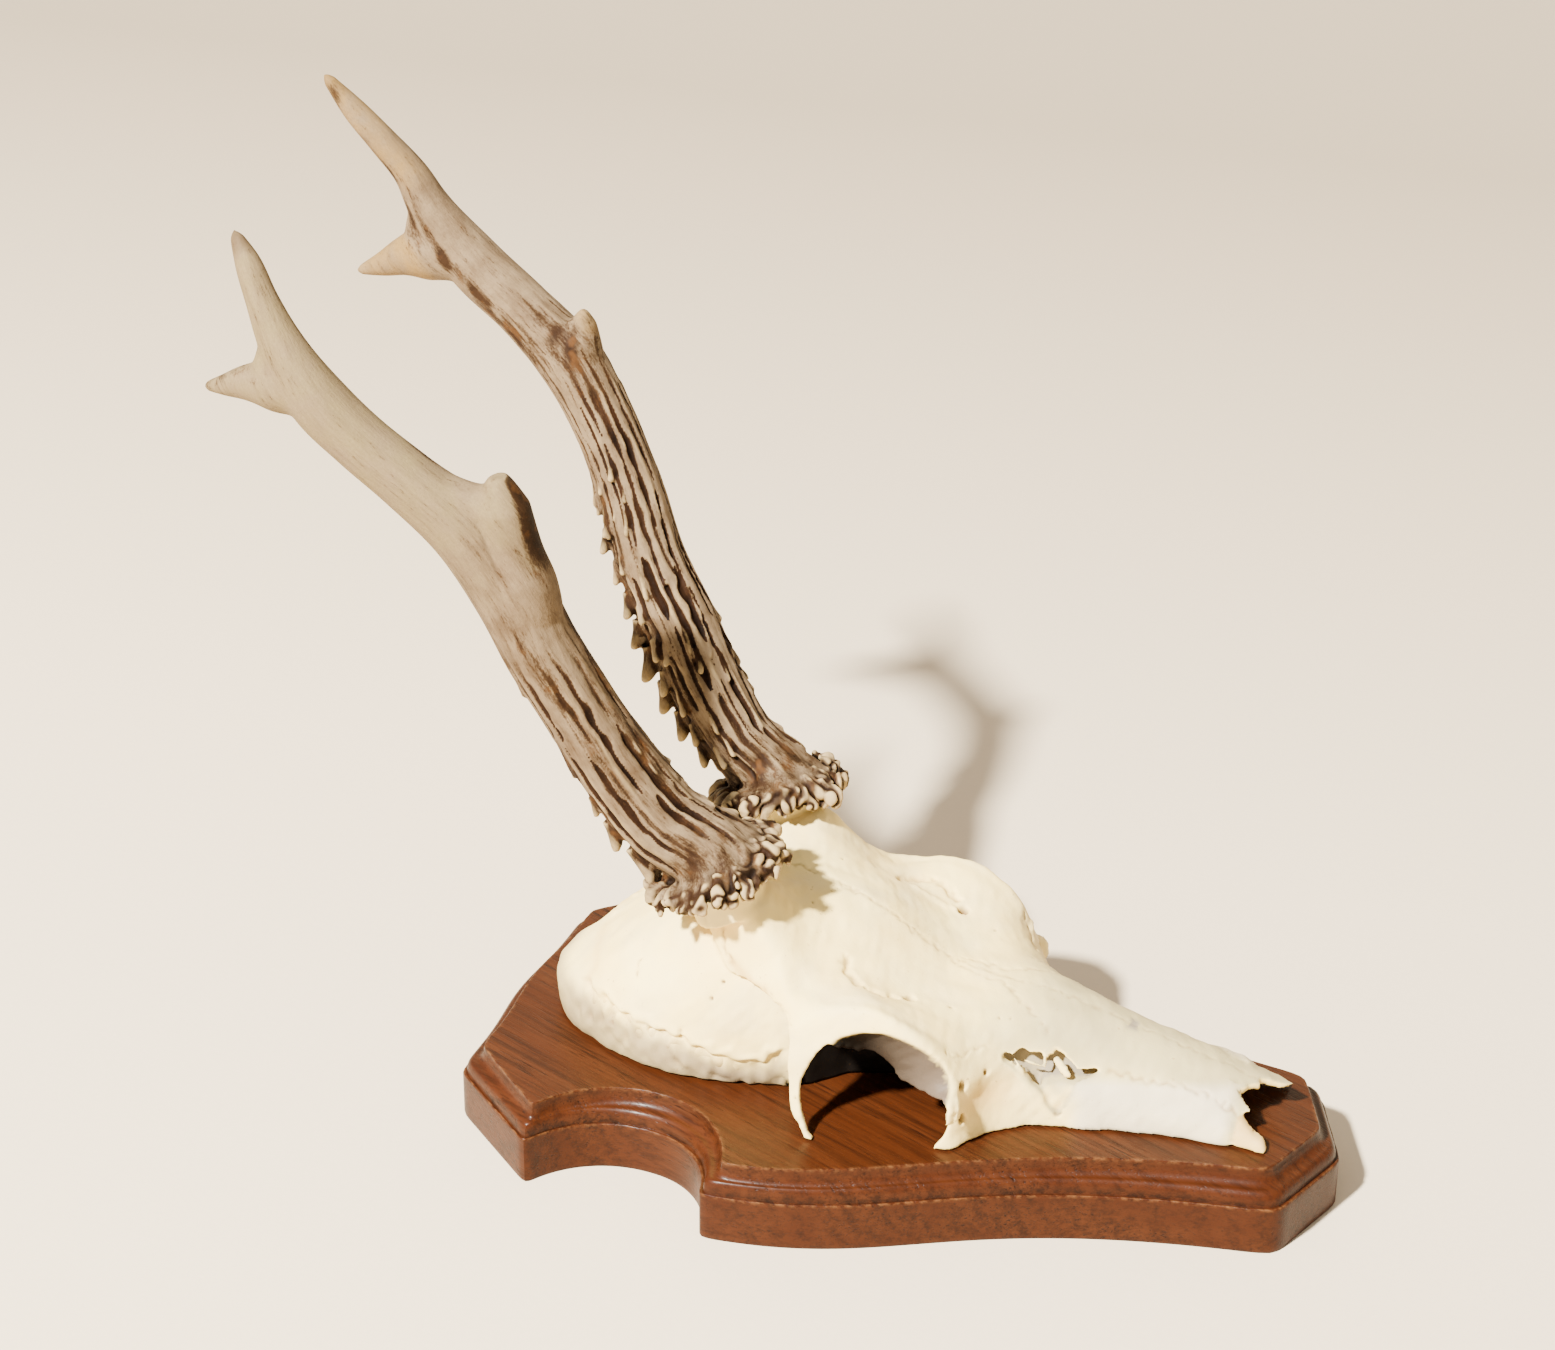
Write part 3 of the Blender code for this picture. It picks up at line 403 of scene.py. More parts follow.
def cut(item, tool):
    """Take a closed block away from an object, and remove the block."""
    modifier = item.modifiers.new("Cut", "BOOLEAN")
    modifier.operation = "DIFFERENCE"
    modifier.solver = "MANIFOLD"
    modifier.object = tool
    settle(item)
    bpy.data.objects.remove(tool, do_unlink=True)


def thin_out(item, most):
    """Merge small faces where the surface is nearly flat until about so many triangles are left."""
    modifier = item.modifiers.new("Thin", "DECIMATE")
    modifier.ratio = min(1.0, most / (2.0 * len(item.data.polygons)))
    return settle(item)


def read_points(mesh):
    """A mesh's points, in millimetres."""
    points = np.empty(len(mesh.vertices) * 3)
    mesh.vertices.foreach_get("co", points)
    return points.reshape(-1, 3) / MM


def write_points(mesh, points):
    """Move a mesh's points to places in millimetres."""
    mesh.vertices.foreach_set("co", (points * MM).ravel())
    mesh.update()


def read_normals(mesh):
    """The unit normal at each point."""
    normals = np.empty(len(mesh.vertices) * 3)
    mesh.vertex_normals.foreach_get("vector", normals)
    return normals.reshape(-1, 3)


def neighbour_mean(values, ends, degree):
    """Mean of the values at each point's neighbours, from the list of edge ends."""
    count = len(degree)
    total = [np.bincount(ends[:, 0], values[ends[:, 1], axis], count)
             + np.bincount(ends[:, 1], values[ends[:, 0], axis], count)
             for axis in range(values.shape[1])]
    return np.stack(total, 1) / degree[:, None]


def edge_ends(mesh):
    """The two ends of every edge, and how many edges meet at each point."""
    ends = np.empty(len(mesh.edges) * 2, np.int64)
    mesh.edges.foreach_get("vertices", ends)
    ends = ends.reshape(-1, 2)
    degree = np.maximum(np.bincount(ends.ravel(), minlength=len(mesh.vertices)), 1)
    return ends, degree


def relaxed(points, ends, degree, rounds, share=0.5):
    """Points moved part of the way to their neighbours' mean, over and over."""
    for _ in range(rounds):
        points = points + share * (neighbour_mean(points, ends, degree) - points)
    return points


def relief(mesh, rounds):
    """How far each point stands out of its relaxed surroundings, in millimetres; below 0 it is sunk."""
    points = read_points(mesh)
    ends, degree = edge_ends(mesh)
    level = relaxed(points, ends, degree, rounds)
    return np.einsum("ij,ij->i", points - level, read_normals(mesh))


def paint(mesh, name, values):
    """Store one number for each point."""
    layer = mesh.attributes.new(name, "FLOAT", "POINT")
    layer.data.foreach_set("value", np.asarray(values, np.float32))


def paint_vector(mesh, name, values):
    """Store three numbers for each point."""
    layer = mesh.attributes.new(name, "FLOAT_VECTOR", "POINT")
    layer.data.foreach_set("vector", np.asarray(values, np.float32).ravel())


def finish_piece(item, material, slot, *nodes):
    """Shade it smooth, dress it, hang it on the root body and let it stand for its CAD nodes."""
    item.data.materials.clear()
    item.data.materials.append(material)
    item.data.shade_smooth()
    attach(item, "root")
    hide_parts(*nodes)
    return item


# ------------------------------------------------------------------ shader expressions

class Wire:
    """A shader socket that can be used in arithmetic; every step adds one Math node."""

    def __init__(self, finish, socket):
        self.finish = finish
        self.socket = socket

    def math(self, operation, *others):
        """A Math node of this socket and others."""
        values = dict(enumerate((self,) + others))
        return self.finish.node("ShaderNodeMath", dict(operation=operation), values)

    def __add__(self, other):
        return self.math("ADD", other)

    def __sub__(self, other):
        return self.math("SUBTRACT", other)

    def __rsub__(self, other):
        return self.math("MULTIPLY", -1.0).math("ADD", other)

    def __mul__(self, other):
        return self.math("MULTIPLY", other)

    def __pow__(self, other):
        return self.math("POWER", other)

    __radd__ = __add__
    __rmul__ = __mul__

    def sine(self):
        """Sine of the value, in radians."""
        return self.math("SINE")

    def step(self, low, high):
        """0 below low, 1 above high, straight between; high may be the smaller one."""
        scaled = (self - low) * (1.0 / (high - low))
        scaled.socket.node.use_clamp = True
        return scaled


class Finish:
    """A Principled material that is put together from expressions."""

    def __init__(self, name, **uniform):
        self.material = bpy.data.materials.new(name)
        self.material.use_nodes = True
        self.tree = self.material.node_tree
        self.shader = self.tree.nodes["Principled BSDF"]
        for socket, value in uniform.items():
            self.shader.inputs[socket.replace("_", " ")].default_value = value

    def node(self, kind, settings=None, values=None, out=0):
        """Add a node: its settings first, then values or links of its sockets, by name or number."""
        node = self.tree.nodes.new(kind)
        for key, value in (settings or {}).items():
            setattr(node, key, value)
        for key, value in (values or {}).items():
            self.feed(node.inputs[key], value)
        return Wire(self, node.outputs[out])

    def feed(self, socket, value):
        """Link a wire to a socket, or set the socket's value; a colour gets its alpha."""
        if isinstance(value, Wire):
            self.tree.links.new(value.socket, socket)
        elif socket.type == "RGBA":
            socket.default_value = (*tuple(value)[:3], 1.0)
        else:
            socket.default_value = value

    def place(self):
        """Object coordinates, in metres."""
        return self.node("ShaderNodeTexCoord", out="Object")

    def stored(self, name, vector=False):
        """A value that was painted on the points."""
        return self.node("ShaderNodeAttribute", dict(attribute_name=name),
                         out="Vector" if vector else "Fac")

    def noise(self, place, scale, detail=2.0, rough=0.5, stretch=(1, 1, 1)):
        """Noise whose scale is in lumps per metre along each axis of the stretched place."""
        spread = self.node("ShaderNodeMapping", None, {"Vector": place, "Scale": stretch})
        return self.node("ShaderNodeTexNoise", None,
                         {"Vector": spread, "Scale": scale, "Detail": detail, "Roughness": rough})

    def mix(self, share, low, high):
        """Colour between low and high."""
        return self.node("ShaderNodeMix", dict(data_type="RGBA"), {0: share, 6: low, 7: high}, out=2)

    def bump(self, height, distance, strength):
        """Normal that is tilted by a height, which a distance in metres scales."""
        return self.node("ShaderNodeBump", None,
                         {"Height": height, "Distance": distance, "Strength": strength})

    def done(self, **inputs):
        """Feed the shader's inputs, with _ for a space in their names, and give back the material."""
        for socket, value in inputs.items():
            self.feed(self.shader.inputs[socket.replace("_", " ")], value)
        return self.material


# ------------------------------------------------------------------ materials

def bone_finish(colours):
    """Bleached bone: cream mottling, cooler upper jaw, brown seams and holes, grainy surface; painted shade
    in the eye sockets, behind them and inside the nose gap, and greyer bone with painted shade low on the
    braincase and on the nose's top.
    """
    finish = Finish("Bleached bone", Roughness=0.5, IOR=1.2)
    place = finish.place()
    patch = finish.noise(place, 38.0, 3.0).step(0.35, 0.7)
    colour = finish.mix(patch, colours.bone, colours.bone_cream)
    cool_patch = finish.noise(place, 70.0, 3.0).step(0.42, 0.72)
    colour = finish.mix(cool_patch * 0.35, colour, colours.bone_cool)
    # Top of the nose: greyer bone, and painted shade on its upward faces.
    colour = finish.mix(finish.stored("nose") * (patch * 0.15 + 0.8), colour, colours.bone_nose_grey_and_shade)
    colour = finish.mix(finish.stored("cool") * 0.85, colour, colours.bone_cool)
    # Lower braincase: greyer rough bone, with painted shade where it curves under.
    colour = finish.mix(finish.stored("dusk") * (patch * 0.25 + 0.7), colour, colours.bone_low_grey_and_shade)
    colour = finish.mix(finish.stored("warm") * 0.8, colour, colours.bone_warm)
    sunk = finish.stored("relief").step(-0.08, -0.75)
    colour = finish.mix(sunk * 0.6, colour, colours.bone_stain)
    broken = finish.noise(place, 420.0, 2.0).step(0.38, 0.62)
    seam = finish.stored("seam") * (broken * 0.6 + 0.4)
    colour = finish.mix(seam * 0.75, colour, colours.seam)
    colour = finish.mix(finish.stored("pit"), colour, colours.pit)
    # Painted shade inside the gap beside the nose.
    colour = finish.mix(finish.stored("inner") * 0.8, colour, colours.bone_inside_shade)
    speck = finish.noise(place, 900.0, 1.0).step(0.70, 0.78) * finish.noise(place, 60.0).step(0.5, 0.65)
    colour = finish.mix(speck * 0.5, colour, colours.bone_stain)
    # Painted shade of the eye sockets and the walls behind them: near black at the back, a dim grey-brown
    # towards the front.
    socket = finish.mix(finish.stored("socket_front"), colours.socket_shade_dark, colours.socket_shade_pale)
    colour = finish.mix(finish.stored("socket"), colour, socket)
    grain = finish.noise(place, 260.0, 4.0, 0.6) + finish.noise(place, 1500.0, 2.0) * 0.25
    rough = finish.noise(place, 90.0, 2.0) * 0.2 + 0.4
    return finish.done(Base_Color=colour, Roughness=rough,
                       Normal=finish.bump(grain, 0.0004, 0.35))


def antler_finish(name, colours, smooth_part, wash_level):
    """Antler: cream ridges, speckled dark brown channels, pale pearls that are partly painted highlight,
    painted shade in hollows, and ivory tips.

    The grain coordinates are millimetres across and along the beam, so streaks follow it.
    """
    finish = Finish(name, Roughness=0.55, IOR=1.12)
    place = finish.place()
    along = finish.stored("grain", True)
    streak = finish.noise(along, 1.0, 4.0, 0.6, (0.45, 0.45, 0.05))
    fine = finish.noise(along, 1.0, 4.0, 0.7, (1.5, 1.5, 0.22))
    speckle = finish.noise(along, 1.0, 3.0, 0.75, (2.2, 2.2, 1.1))
    blotch = finish.noise(place, 110.0, 3.0, 0.6)
    ivory, burr = finish.stored("ivory"), finish.stored("burr")
    ridge = finish.mix(blotch.step(0.42, 0.8), colours.antler_cream, colours.antler_tan)
    pale = finish.mix(blotch.step(0.35, 0.75), smooth_part, colours.antler_cream)
    colour = finish.mix(ivory, ridge, pale)
    wash = (streak * 0.8 + fine * 0.35 + speckle * 0.35).step(wash_level, wash_level + 0.28)
    colour = finish.mix(wash * (0.85 - ivory * 0.5), colour, colours.antler_warm)
    dash = (streak * 0.55 + fine * 0.5 + speckle * 0.35).step(0.79, 0.90)
    colour = finish.mix(dash * (0.75 - ivory * 0.35), colour, colours.antler_brown)
    dark = finish.mix(blotch.step(0.45, 0.7), colours.antler_brown, colours.antler_black_and_shade)
    groove = finish.stored("groove") + (fine - 0.5) * 0.6 + (speckle - 0.5) * 0.7 + (streak - 0.5) * 0.4
    colour = finish.mix(groove.step(0.10, 0.30) * 0.7, colour, colours.antler_warm)
    colour = finish.mix(groove.step(0.26, 0.52), colour, dark)
    soiled = (burr + (blotch - 0.5) * 1.2 + (fine - 0.5) * 0.8).step(0.35, 1.0)
    colour = finish.mix(soiled * 0.7, colour, colours.antler_brown)
    # Stains, and on one antler painted shade on a knob's dark side.
    stain = finish.stored("stain") + (streak - 0.5) * 0.8 + (fine - 0.5) * 0.8 + (speckle - 0.5) * 0.9
    colour = finish.mix(stain.step(0.22, 0.5) * 0.7, colour, colours.antler_warm)
    colour = finish.mix(stain.step(0.45, 0.75) * 0.9, colour, dark)
    rust = finish.noise(place, 210.0, 2.0).step(0.54, 0.66) * (stain.step(0.1, 0.8) + burr * 0.6)
    colour = finish.mix(rust * 0.7, colour, colours.antler_orange)
    level = finish.stored("relief") + finish.stored("broad") * 0.5 + (fine - 0.5) * 0.3
    rough_part = 1.0 - ivory
    # Painted shade: hollows of the relief go near black.
    colour = finish.mix(level.step(-0.12, -0.55) * rough_part * 0.95, colour, colours.antler_black_and_shade)
    # Raised tops go pale: rubbed pearls, partly painted highlight.
    colour = finish.mix(level.step(0.28, 0.75) * rough_part * 0.9, colour, colours.pearl_and_highlight)
    crest = finish.stored("coral") + (speckle - 0.5) * 0.35
    # Crests of the burr's knobs go pale: rubbed, and partly painted highlight.
    colour = finish.mix(crest.step(0.25, 0.8) * blotch.step(0.38, 0.62) * 0.75, colour, colours.pearl_and_highlight)
    colour = finish.mix(crest.step(0.05, 0.3) * rust * 0.7, colour, colours.antler_orange)
    # Painted shade in the valleys between the burr's knobs.
    colour = finish.mix(crest.step(0.10, -0.40) * 0.95, colour, dark)
    colour = finish.mix(finish.stored("tip") * blotch.step(0.35, 0.6) * 0.5, colour, colours.antler_warm)
    grain = fine * 0.8 + finish.noise(place, 1400.0, 2.0) * 0.3
    return finish.done(Base_Color=colour, Normal=finish.bump(grain, 0.0005, 0.5))


def oak_finish(colours):
    """Stained oak: growth bands and fine dark pores aslant to x, worn pale edges, painted shade in the
    quirk, satin lacquer.
    """
    finish = Finish("Stained oak", Roughness=0.35, IOR=1.18, Coat_Weight=0.05, Coat_Roughness=0.2)
    place = finish.node("ShaderNodeMapping", None,
                        {"Vector": finish.place(), "Rotation": (0.0, 0.0, math.radians(24.0))})
    across = finish.node("ShaderNodeSeparateXYZ", None, {0: place}, out=1)
    height = finish.node("ShaderNodeSeparateXYZ", None, {0: place}, out=2)
    warp = finish.noise(place, 1.0, 3.0, 0.5, (10.0, 60.0, 60.0))
    bands = ((across * 1100.0 + height * 420.0 + warp * 22.0).sine() * 0.5 + 0.5) ** 1.3
    fibre = finish.noise(place, 1.0, 4.0, 0.65, (60.0, 1500.0, 1500.0))
    tone = finish.noise(place, 1.0, 3.0, 0.5, (16.0, 110.0, 110.0))
    colour = finish.mix(tone.step(0.3, 0.7), colours.oak_red, colours.oak_light)
    streak = finish.noise(place, 1.0, 4.0, 0.65, (28.0, 620.0, 620.0))
    dark = (bands * 0.1 + fibre * 0.5 + streak * 0.85 + tone * 0.35).step(0.80, 1.12)
    colour = finish.mix(dark * 0.8, colour, colours.oak_brown)
    pores = finish.noise(place, 1.0, 2.0, 0.6, (100.0, 1700.0, 1700.0)).step(0.57, 0.68)
    pores = pores * (tone.step(0.4, 0.65) * 0.7 + 0.3)
    colour = finish.mix(pores * 0.75, colour, colours.oak_pores_and_shade)
    rubbed = finish.noise(place, 1.0, 3.0, 0.6, (300.0, 700.0, 700.0)).step(0.45, 0.66)
    colour = finish.mix(finish.stored("edge") * rubbed * 0.7, colour, colours.oak_worn)
    # Painted shade in the quirk under the bead.
    colour = finish.mix(finish.stored("quirk") * streak.step(0.35, 0.6) * 0.5, colour, colours.oak_pores_and_shade)
    surface = fibre * 0.5 - pores * 0.8
    rough = fibre * 0.16 + 0.30
    return finish.done(Base_Color=colour, Roughness=rough, Normal=finish.bump(surface, 0.0003, 0.4))


def floor_finish(colours):
    """Pale matt table top with a barely visible mottle."""
    finish = Finish("Pale table", Roughness=0.7)
    mottle = finish.noise(finish.place(), 500.0, 3.0, 0.6)
    colour = finish.mix(mottle.step(0.3, 0.7) * 0.06, colours.floor, colours.floor_far)
    far = finish.node("ShaderNodeSeparateXYZ", None, {0: finish.place()}, out=1).step(0.15, 1.1)
    colour = finish.mix(far, colour, colours.floor_far)
    return finish.done(Base_Color=colour, Normal=finish.bump(mottle, 0.0002, 0.12))


# ------------------------------------------------------------------ shield

def half_outline(form):
    """Half outline: a Bezier side, an arc for the cove, and a softly waved back end."""
    nose, shoulder = np.array(form["nose"]), np.array(form["shoulder"])
    ear, back = np.array(form["ear"]), np.array(form["back"])
    t = np.linspace(0, 1, 70)[:, None]
    handle_in = nose + np.array((-form["reach_in"][0], form["reach_in"][1]))
    handle_out = shoulder + np.array(form["reach_out"])
    side = ((1 - t) ** 3 * nose + 3 * (1 - t) ** 2 * t * handle_in
            + 3 * (1 - t) * t ** 2 * handle_out + t ** 3 * shoulder)
    front = form["tip"] + (nose - form["tip"]) * np.linspace(0, 1, 16)[:-1, None]
    centre = np.array(COVE_CENTRE)
    radii = [np.linalg.norm(corner - centre) for corner in (shoulder, ear)]
    start = math.atan2(*(shoulder - centre)[::-1])
    end = math.atan2(*(ear - centre)[::-1])
    share = np.linspace(0, 1, 60)
    angle = start + (end - start) * share
    radius = radii[0] + (radii[1] - radii[0]) * np.clip((share - 0.5) / 0.5, 0, 1) ** 1.5
    cove = centre + radius[:, None] * np.stack([np.cos(angle), np.sin(angle)], 1)
    corner = ear + (back - ear) * np.linspace(0, 1, 22)[1:-1, None]
    across = np.linspace(1, 0, 26)
    swell = BACK_BULGE * np.cos(math.pi / 2 * across) ** 2 - BACK_DIP * np.sin(math.pi * across) ** 2
    end_line = np.stack([back[0] - swell, back[1] * across], 1)
    return np.concatenate([front, side[:-1], cove, corner, end_line])


def full_outline(form):
    """Half outline mirrored in the middle plane, evened out, with softly rounded corners."""
    half = half_outline(form)
    whole = np.concatenate([half, half[-2:0:-1] * np.array((1.0, -1.0))])
    weights = (0.1, 0.2, 0.4, 0.2, 0.1)
    return sum(np.roll(whole, shift, axis=0) * weight
               for shift, weight in zip(range(-2, 3), weights))


def moulding():
    """Profile from the back's rim to the top: (share of the way inwards, height, edge, quirk), the last
    being painted shade in the quirk under the bead.

    A square edge with a small arris, a ledge, a bead that is a quarter ellipse, a hollow that is
    the next quarter turned over, and a short upright with an arris at the top face.
    """
    arc = np.linspace(0, math.pi / 2, 12)
    bead = np.column_stack([0.52 - 0.34 * np.cos(arc), LEDGE + 0.7 + 3.3 * np.sin(arc)])
    hollow = np.column_stack([0.52 + 0.43 * np.sin(arc[1:]), 20.5 - 3.1 * np.cos(arc[1:])])
    side = np.column_stack([np.zeros(6), np.linspace(1.6, LEDGE - 1.0, 6)])
    rows = [[(0.30, 0.0, 0, 0), (0.06, 0.0, 0, 0), (0.015, 0.25, 0, 0), (0.0, 0.8, 0.1, 0)]]
    rows.append(np.column_stack([side, np.zeros(6), np.zeros(6)]))
    # The last column is painted shade, deepest in the quirk between ledge and bead.
    rows.append([(0.0, LEDGE - 0.45, 0.5, 0), (0.012, LEDGE - 0.15, 1.0, 0), (0.045, LEDGE, 0.9, 0),
                 (0.10, LEDGE, 0.15, 0.0), (0.155, LEDGE - 0.05, 0, 0.6), (0.175, LEDGE + 0.1, 0, 1.0)])
    rows.append(np.column_stack([bead, np.zeros(12), np.linspace(1, 0, 12) ** 6]))
    rows.append(np.column_stack([hollow, np.zeros(11), np.zeros(11)]))
    rows.append([(0.955, BOARD_TOP - 0.8, 0.2, 0), (0.962, BOARD_TOP - 0.4, 0.8, 0),
                 (0.975, BOARD_TOP - 0.14, 1.0, 0), (1.0, BOARD_TOP, 0.8, 0)])
    return np.vstack(rows)


def shield_rings():
    """Rings of the shield: outline points slide from the outer to the inner line up the profile."""
    outer, inner = full_outline(OUTER), full_outline(INNER)
    profile = moulding()
    flat = outer[None] + (inner - outer)[None] * profile[:, 0, None, None]
    height = np.broadcast_to(profile[:, 1, None], flat.shape[:2])
    rings = np.dstack([flat, height])
    along = np.roll(inner, -2, axis=0) - np.roll(inner, 2, axis=0)
    turned = np.stack([-along[:, 1], along[:, 0]], 1) * np.sign(np.cross(inner, along).sum())
    turned /= np.linalg.norm(turned, axis=1)[:, None]
    inset = [np.dstack([(inner + turned * depth)[None], np.full((1, len(inner)), BOARD_TOP)])
             for depth in (0.45, 0.9)]
    edge = np.concatenate([profile[:, 2], (0.3, 0.0)])
    quirk = np.concatenate([profile[:, 3], (0.0, 0.0)])
    return np.concatenate([rings, *inset]), edge, quirk


def build_shield(finish):
    """The shield's rings closed by a flat back and a flat top, with slightly uneven, worn edges."""
    rings, edge, quirk = shield_rings()
    rows, columns = rings.shape[:2]
    wear = ripple(rings, 5.0, 3) * 0.10 + ripple(rings, 1.8, 5) * 0.07
    outward_way = rings[:, :, :2] / np.linalg.norm(rings[:, :, :2], axis=2)[:, :, None]
    rings[:, :, :2] -= outward_way * (np.clip(wear + 0.05, 0, 1) * edge[:, None])[:, :, None]
    rings[:, :, 1] = np.clip(rings[:, :, 1], -WIDEST, WIDEST)
    faces = grid_quads(rows, columns, True).tolist()
    around = np.arange(columns)
    faces += [around[::-1].tolist(), ((rows - 1) * columns + around).tolist()]
    points = rings.reshape(-1, 3)
    item = mesh_object("oak_shield", points, outward(points, faces))
    paint(item.data, "edge", np.repeat(edge, columns))
    # Painted shade in the quirk between ledge and bead.
    paint(item.data, "quirk", np.repeat(quirk, columns))
    finish_piece(item, finish, "oak", "shield")
    item.data.set_sharp_from_angle(angle=math.radians(42))
    return item


# ------------------------------------------------------------------ skull

def half_section_controls(along):
    """Control points of the half sections at the given stations."""
    stations = [row[0] for row in FACE]
    sections = np.array([row[1:] for row in FACE], float).reshape(len(FACE), -1)
    return hermite(stations, sections, along).reshape(len(along), 6, 2)


def face_surface():
    """Forehead and nose: at each station a cubic runs through six control points a side."""
    along = np.arange(FACE_START, FACE_END + 0.1, 1.4)
    controls = half_section_controls(along)
    controls = np.concatenate([controls[:, 1:2] * np.array((-1.0, 1.0)), controls], 1)
    knots = np.arange(-1.0, 6.0)
    around = np.concatenate([np.linspace(0, 4, 37), np.linspace(4, 5, 14)[1:]])
    half = np.stack([hermite(knots, row, around) for row in controls])
    half[:, 0, 0] = 0.0
    whole = np.concatenate([half[:, :0:-1] * np.array((-1.0, 1.0)), half], 1)
    x = np.broadcast_to(along[:, None] + BACK_EDGE, whole.shape[:2])
    return np.dstack([x, whole])


def braincase_surface():
    """Open egg: rounded boxes of a power curve, joined along x, closer together at its round back."""
    table = np.array(BRAINCASE)
    along = np.concatenate([(9.4, 9.7, 10.2, 11.0, 12.0, 13.2), np.arange(14.8, 86.6, 1.5)])
    width, top, middle, bottom = hermite(table[:, 0], table[:, 1:], along).T
    angle = np.linspace(0, 2 * math.pi, 97)[:-1]
    power = 2 / BRAINCASE_FULLNESS
    across = np.sign(np.sin(angle)) * np.abs(np.sin(angle)) ** power
    up = np.sign(np.cos(angle)) * np.abs(np.cos(angle)) ** power
    reach = np.where(up > 0, (top - middle)[:, None], (middle - bottom)[:, None])
    x = np.broadcast_to(along[:, None] + BACK_EDGE, (len(along), len(angle)))
    return np.dstack([x, width[:, None] * across, middle[:, None] + reach * up])


def side_table():
    """Distance of the face's side from the middle plane: rows are x, 1 mm apart, columns are z."""
    along = np.arange(FACE_START, FACE_END, 1.0)
    controls = half_section_controls(along)
    heights = np.arange(SECTION_FOOT, 80.0, SIDE_STEP)
    around = np.linspace(5, 1, 60)
    rows = []
    for row in controls:
        curve = hermite(np.arange(6.0), row, around)
        top = int(np.argmax(curve[:, 1])) + 1
        rows.append(np.interp(heights, np.maximum.accumulate(curve[:top, 1]), curve[:top, 0]))
    return np.array(rows)


def side_width(table, x, z):
    """Bilinear reading of the side table at stations x and heights z."""
    row = np.clip(np.asarray(x, float) - FACE_START, 0, table.shape[0] - 1.001)
    column = np.clip((np.asarray(z, float) - SECTION_FOOT) / SIDE_STEP, 0, table.shape[1] - 1.001)
    i, j = row.astype(int), column.astype(int)
    u, v = row - i, column - j
    return ((1 - u) * (1 - v) * table[i, j] + u * (1 - v) * table[i + 1, j]
            + (1 - u) * v * table[i, j + 1] + u * v * table[i + 1, j + 1])


def socket_surface(side, table):
    """Eye socket's wall: a strip from the round rim to its own ragged edge, bulging outwards.

    At share t of the way the place is rim * (1 - t) + edge * t, pushed away from the socket's
    axis by sin(pi * t).
    """
    edge = np.array(SOCKET_EDGE)[::-1]
    turn = np.linspace(-8.0, 128.0, 96)
    inner = hermite(edge[:, 0], edge[:, 1:], turn)
    ragged = 0.45 * np.sin(turn * 0.43) * np.sin(turn * 0.17 + 1.0) + 0.3 * np.sin(turn * 1.1)
    angle = np.radians(turn)
    away = np.stack([np.cos(angle), np.zeros(len(turn)), np.sin(angle)], 1)
    inner = inner + ragged[:, None] * away
    rim = np.stack([ORBIT_CENTRE[0] + (ORBIT_RADIUS + 0.45) * np.cos(angle), np.zeros(len(turn)),
                    ORBIT_CENTRE[1] + (ORBIT_RADIUS + 0.45) * np.sin(angle)], 1)
    rim[:, 1] = side_width(table, rim[:, 0], rim[:, 2]) - 0.9
    share = np.linspace(0, 1, 22)[None, :, None]
    surface = rim[:, None] * (1 - share) + inner[:, None] * share
    surface = surface + away[:, None] * np.sin(math.pi * share) * 1.1
    return surface * np.array((1.0, side, 1.0)) + np.array((BACK_EDGE, 0.0, 0.0))


def nose_plate(side, table):
    """Thin bone behind the gap beside the nose: the face's own side, sunk and crumpled."""
    x, z = np.meshgrid(np.linspace(136, 166, 46), np.linspace(23.5, 43.5, 30), indexing="ij")
    near_skin = fade(33.8 - z, 0.0, 1.4) * fade(x, 148.5, 151.0)
    sunk = 8.0 - 6.0 * near_skin + 0.3 * np.sin(x * 0.9 + z)
    y = side_width(table, x, z) - sunk + 0.35 * np.sin(x * 1.1) * np.cos(z * 0.8)
    return np.dstack([x + BACK_EDGE, side * y, z])


def septum_shade_wall(side):
    """Inner wall behind an eye socket: an upright sheet along a bent line, coloured near black as painted
    shade.
    """
    rows = np.array(SEPTUM_SHADE_WALL)
    x = np.linspace(rows[0, 0], rows[-1, 0], 60)[:, None]
    top = np.interp(x, rows[:, 0], rows[:, 2])
    z = SAW - 1.0 + (top - SAW + 1.0) * np.linspace(0, 1, 30)[None]
    y = side * np.interp(x, rows[:, 0], rows[:, 1])
    return np.dstack(np.broadcast_arrays(x + BACK_EDGE, y, z))


def leaves(side, table):
    """Thin bone leaves over the gap: flat lens shapes that hug the face's side."""
    bodies = []
    for x0, z0, x1, z1, half in LEAVES:
        ends = np.array([(x, side_width(table, x, z) + out, z)
                         for x, z, out in ((x0, z0, -0.5), (x1, z1, 0.3))])
        middle, axis = ends.mean(0), (ends[1] - ends[0]) / 2
        across = np.cross(axis, (0.0, 1.0, 0.0))
        across *= half / np.linalg.norm(across)
        thin = np.cross(across, axis)
        thin *= 0.5 / np.linalg.norm(thin)
        polar = np.linspace(0.1, math.pi - 0.1, 12)[:, None, None]
        turn = np.linspace(0, 2 * math.pi, 15)[None, :-1, None]
        rings = (middle + np.cos(polar) * axis * 1.05 + np.sin(polar) ** 0.8 * np.cos(turn) * across
                 + np.sin(polar) * np.sin(turn) * thin)
        bodies.append(tube_parts(rings * np.array((1.0, side, 1.0)) + np.array((BACK_EDGE, 0, 0))))
    return bodies


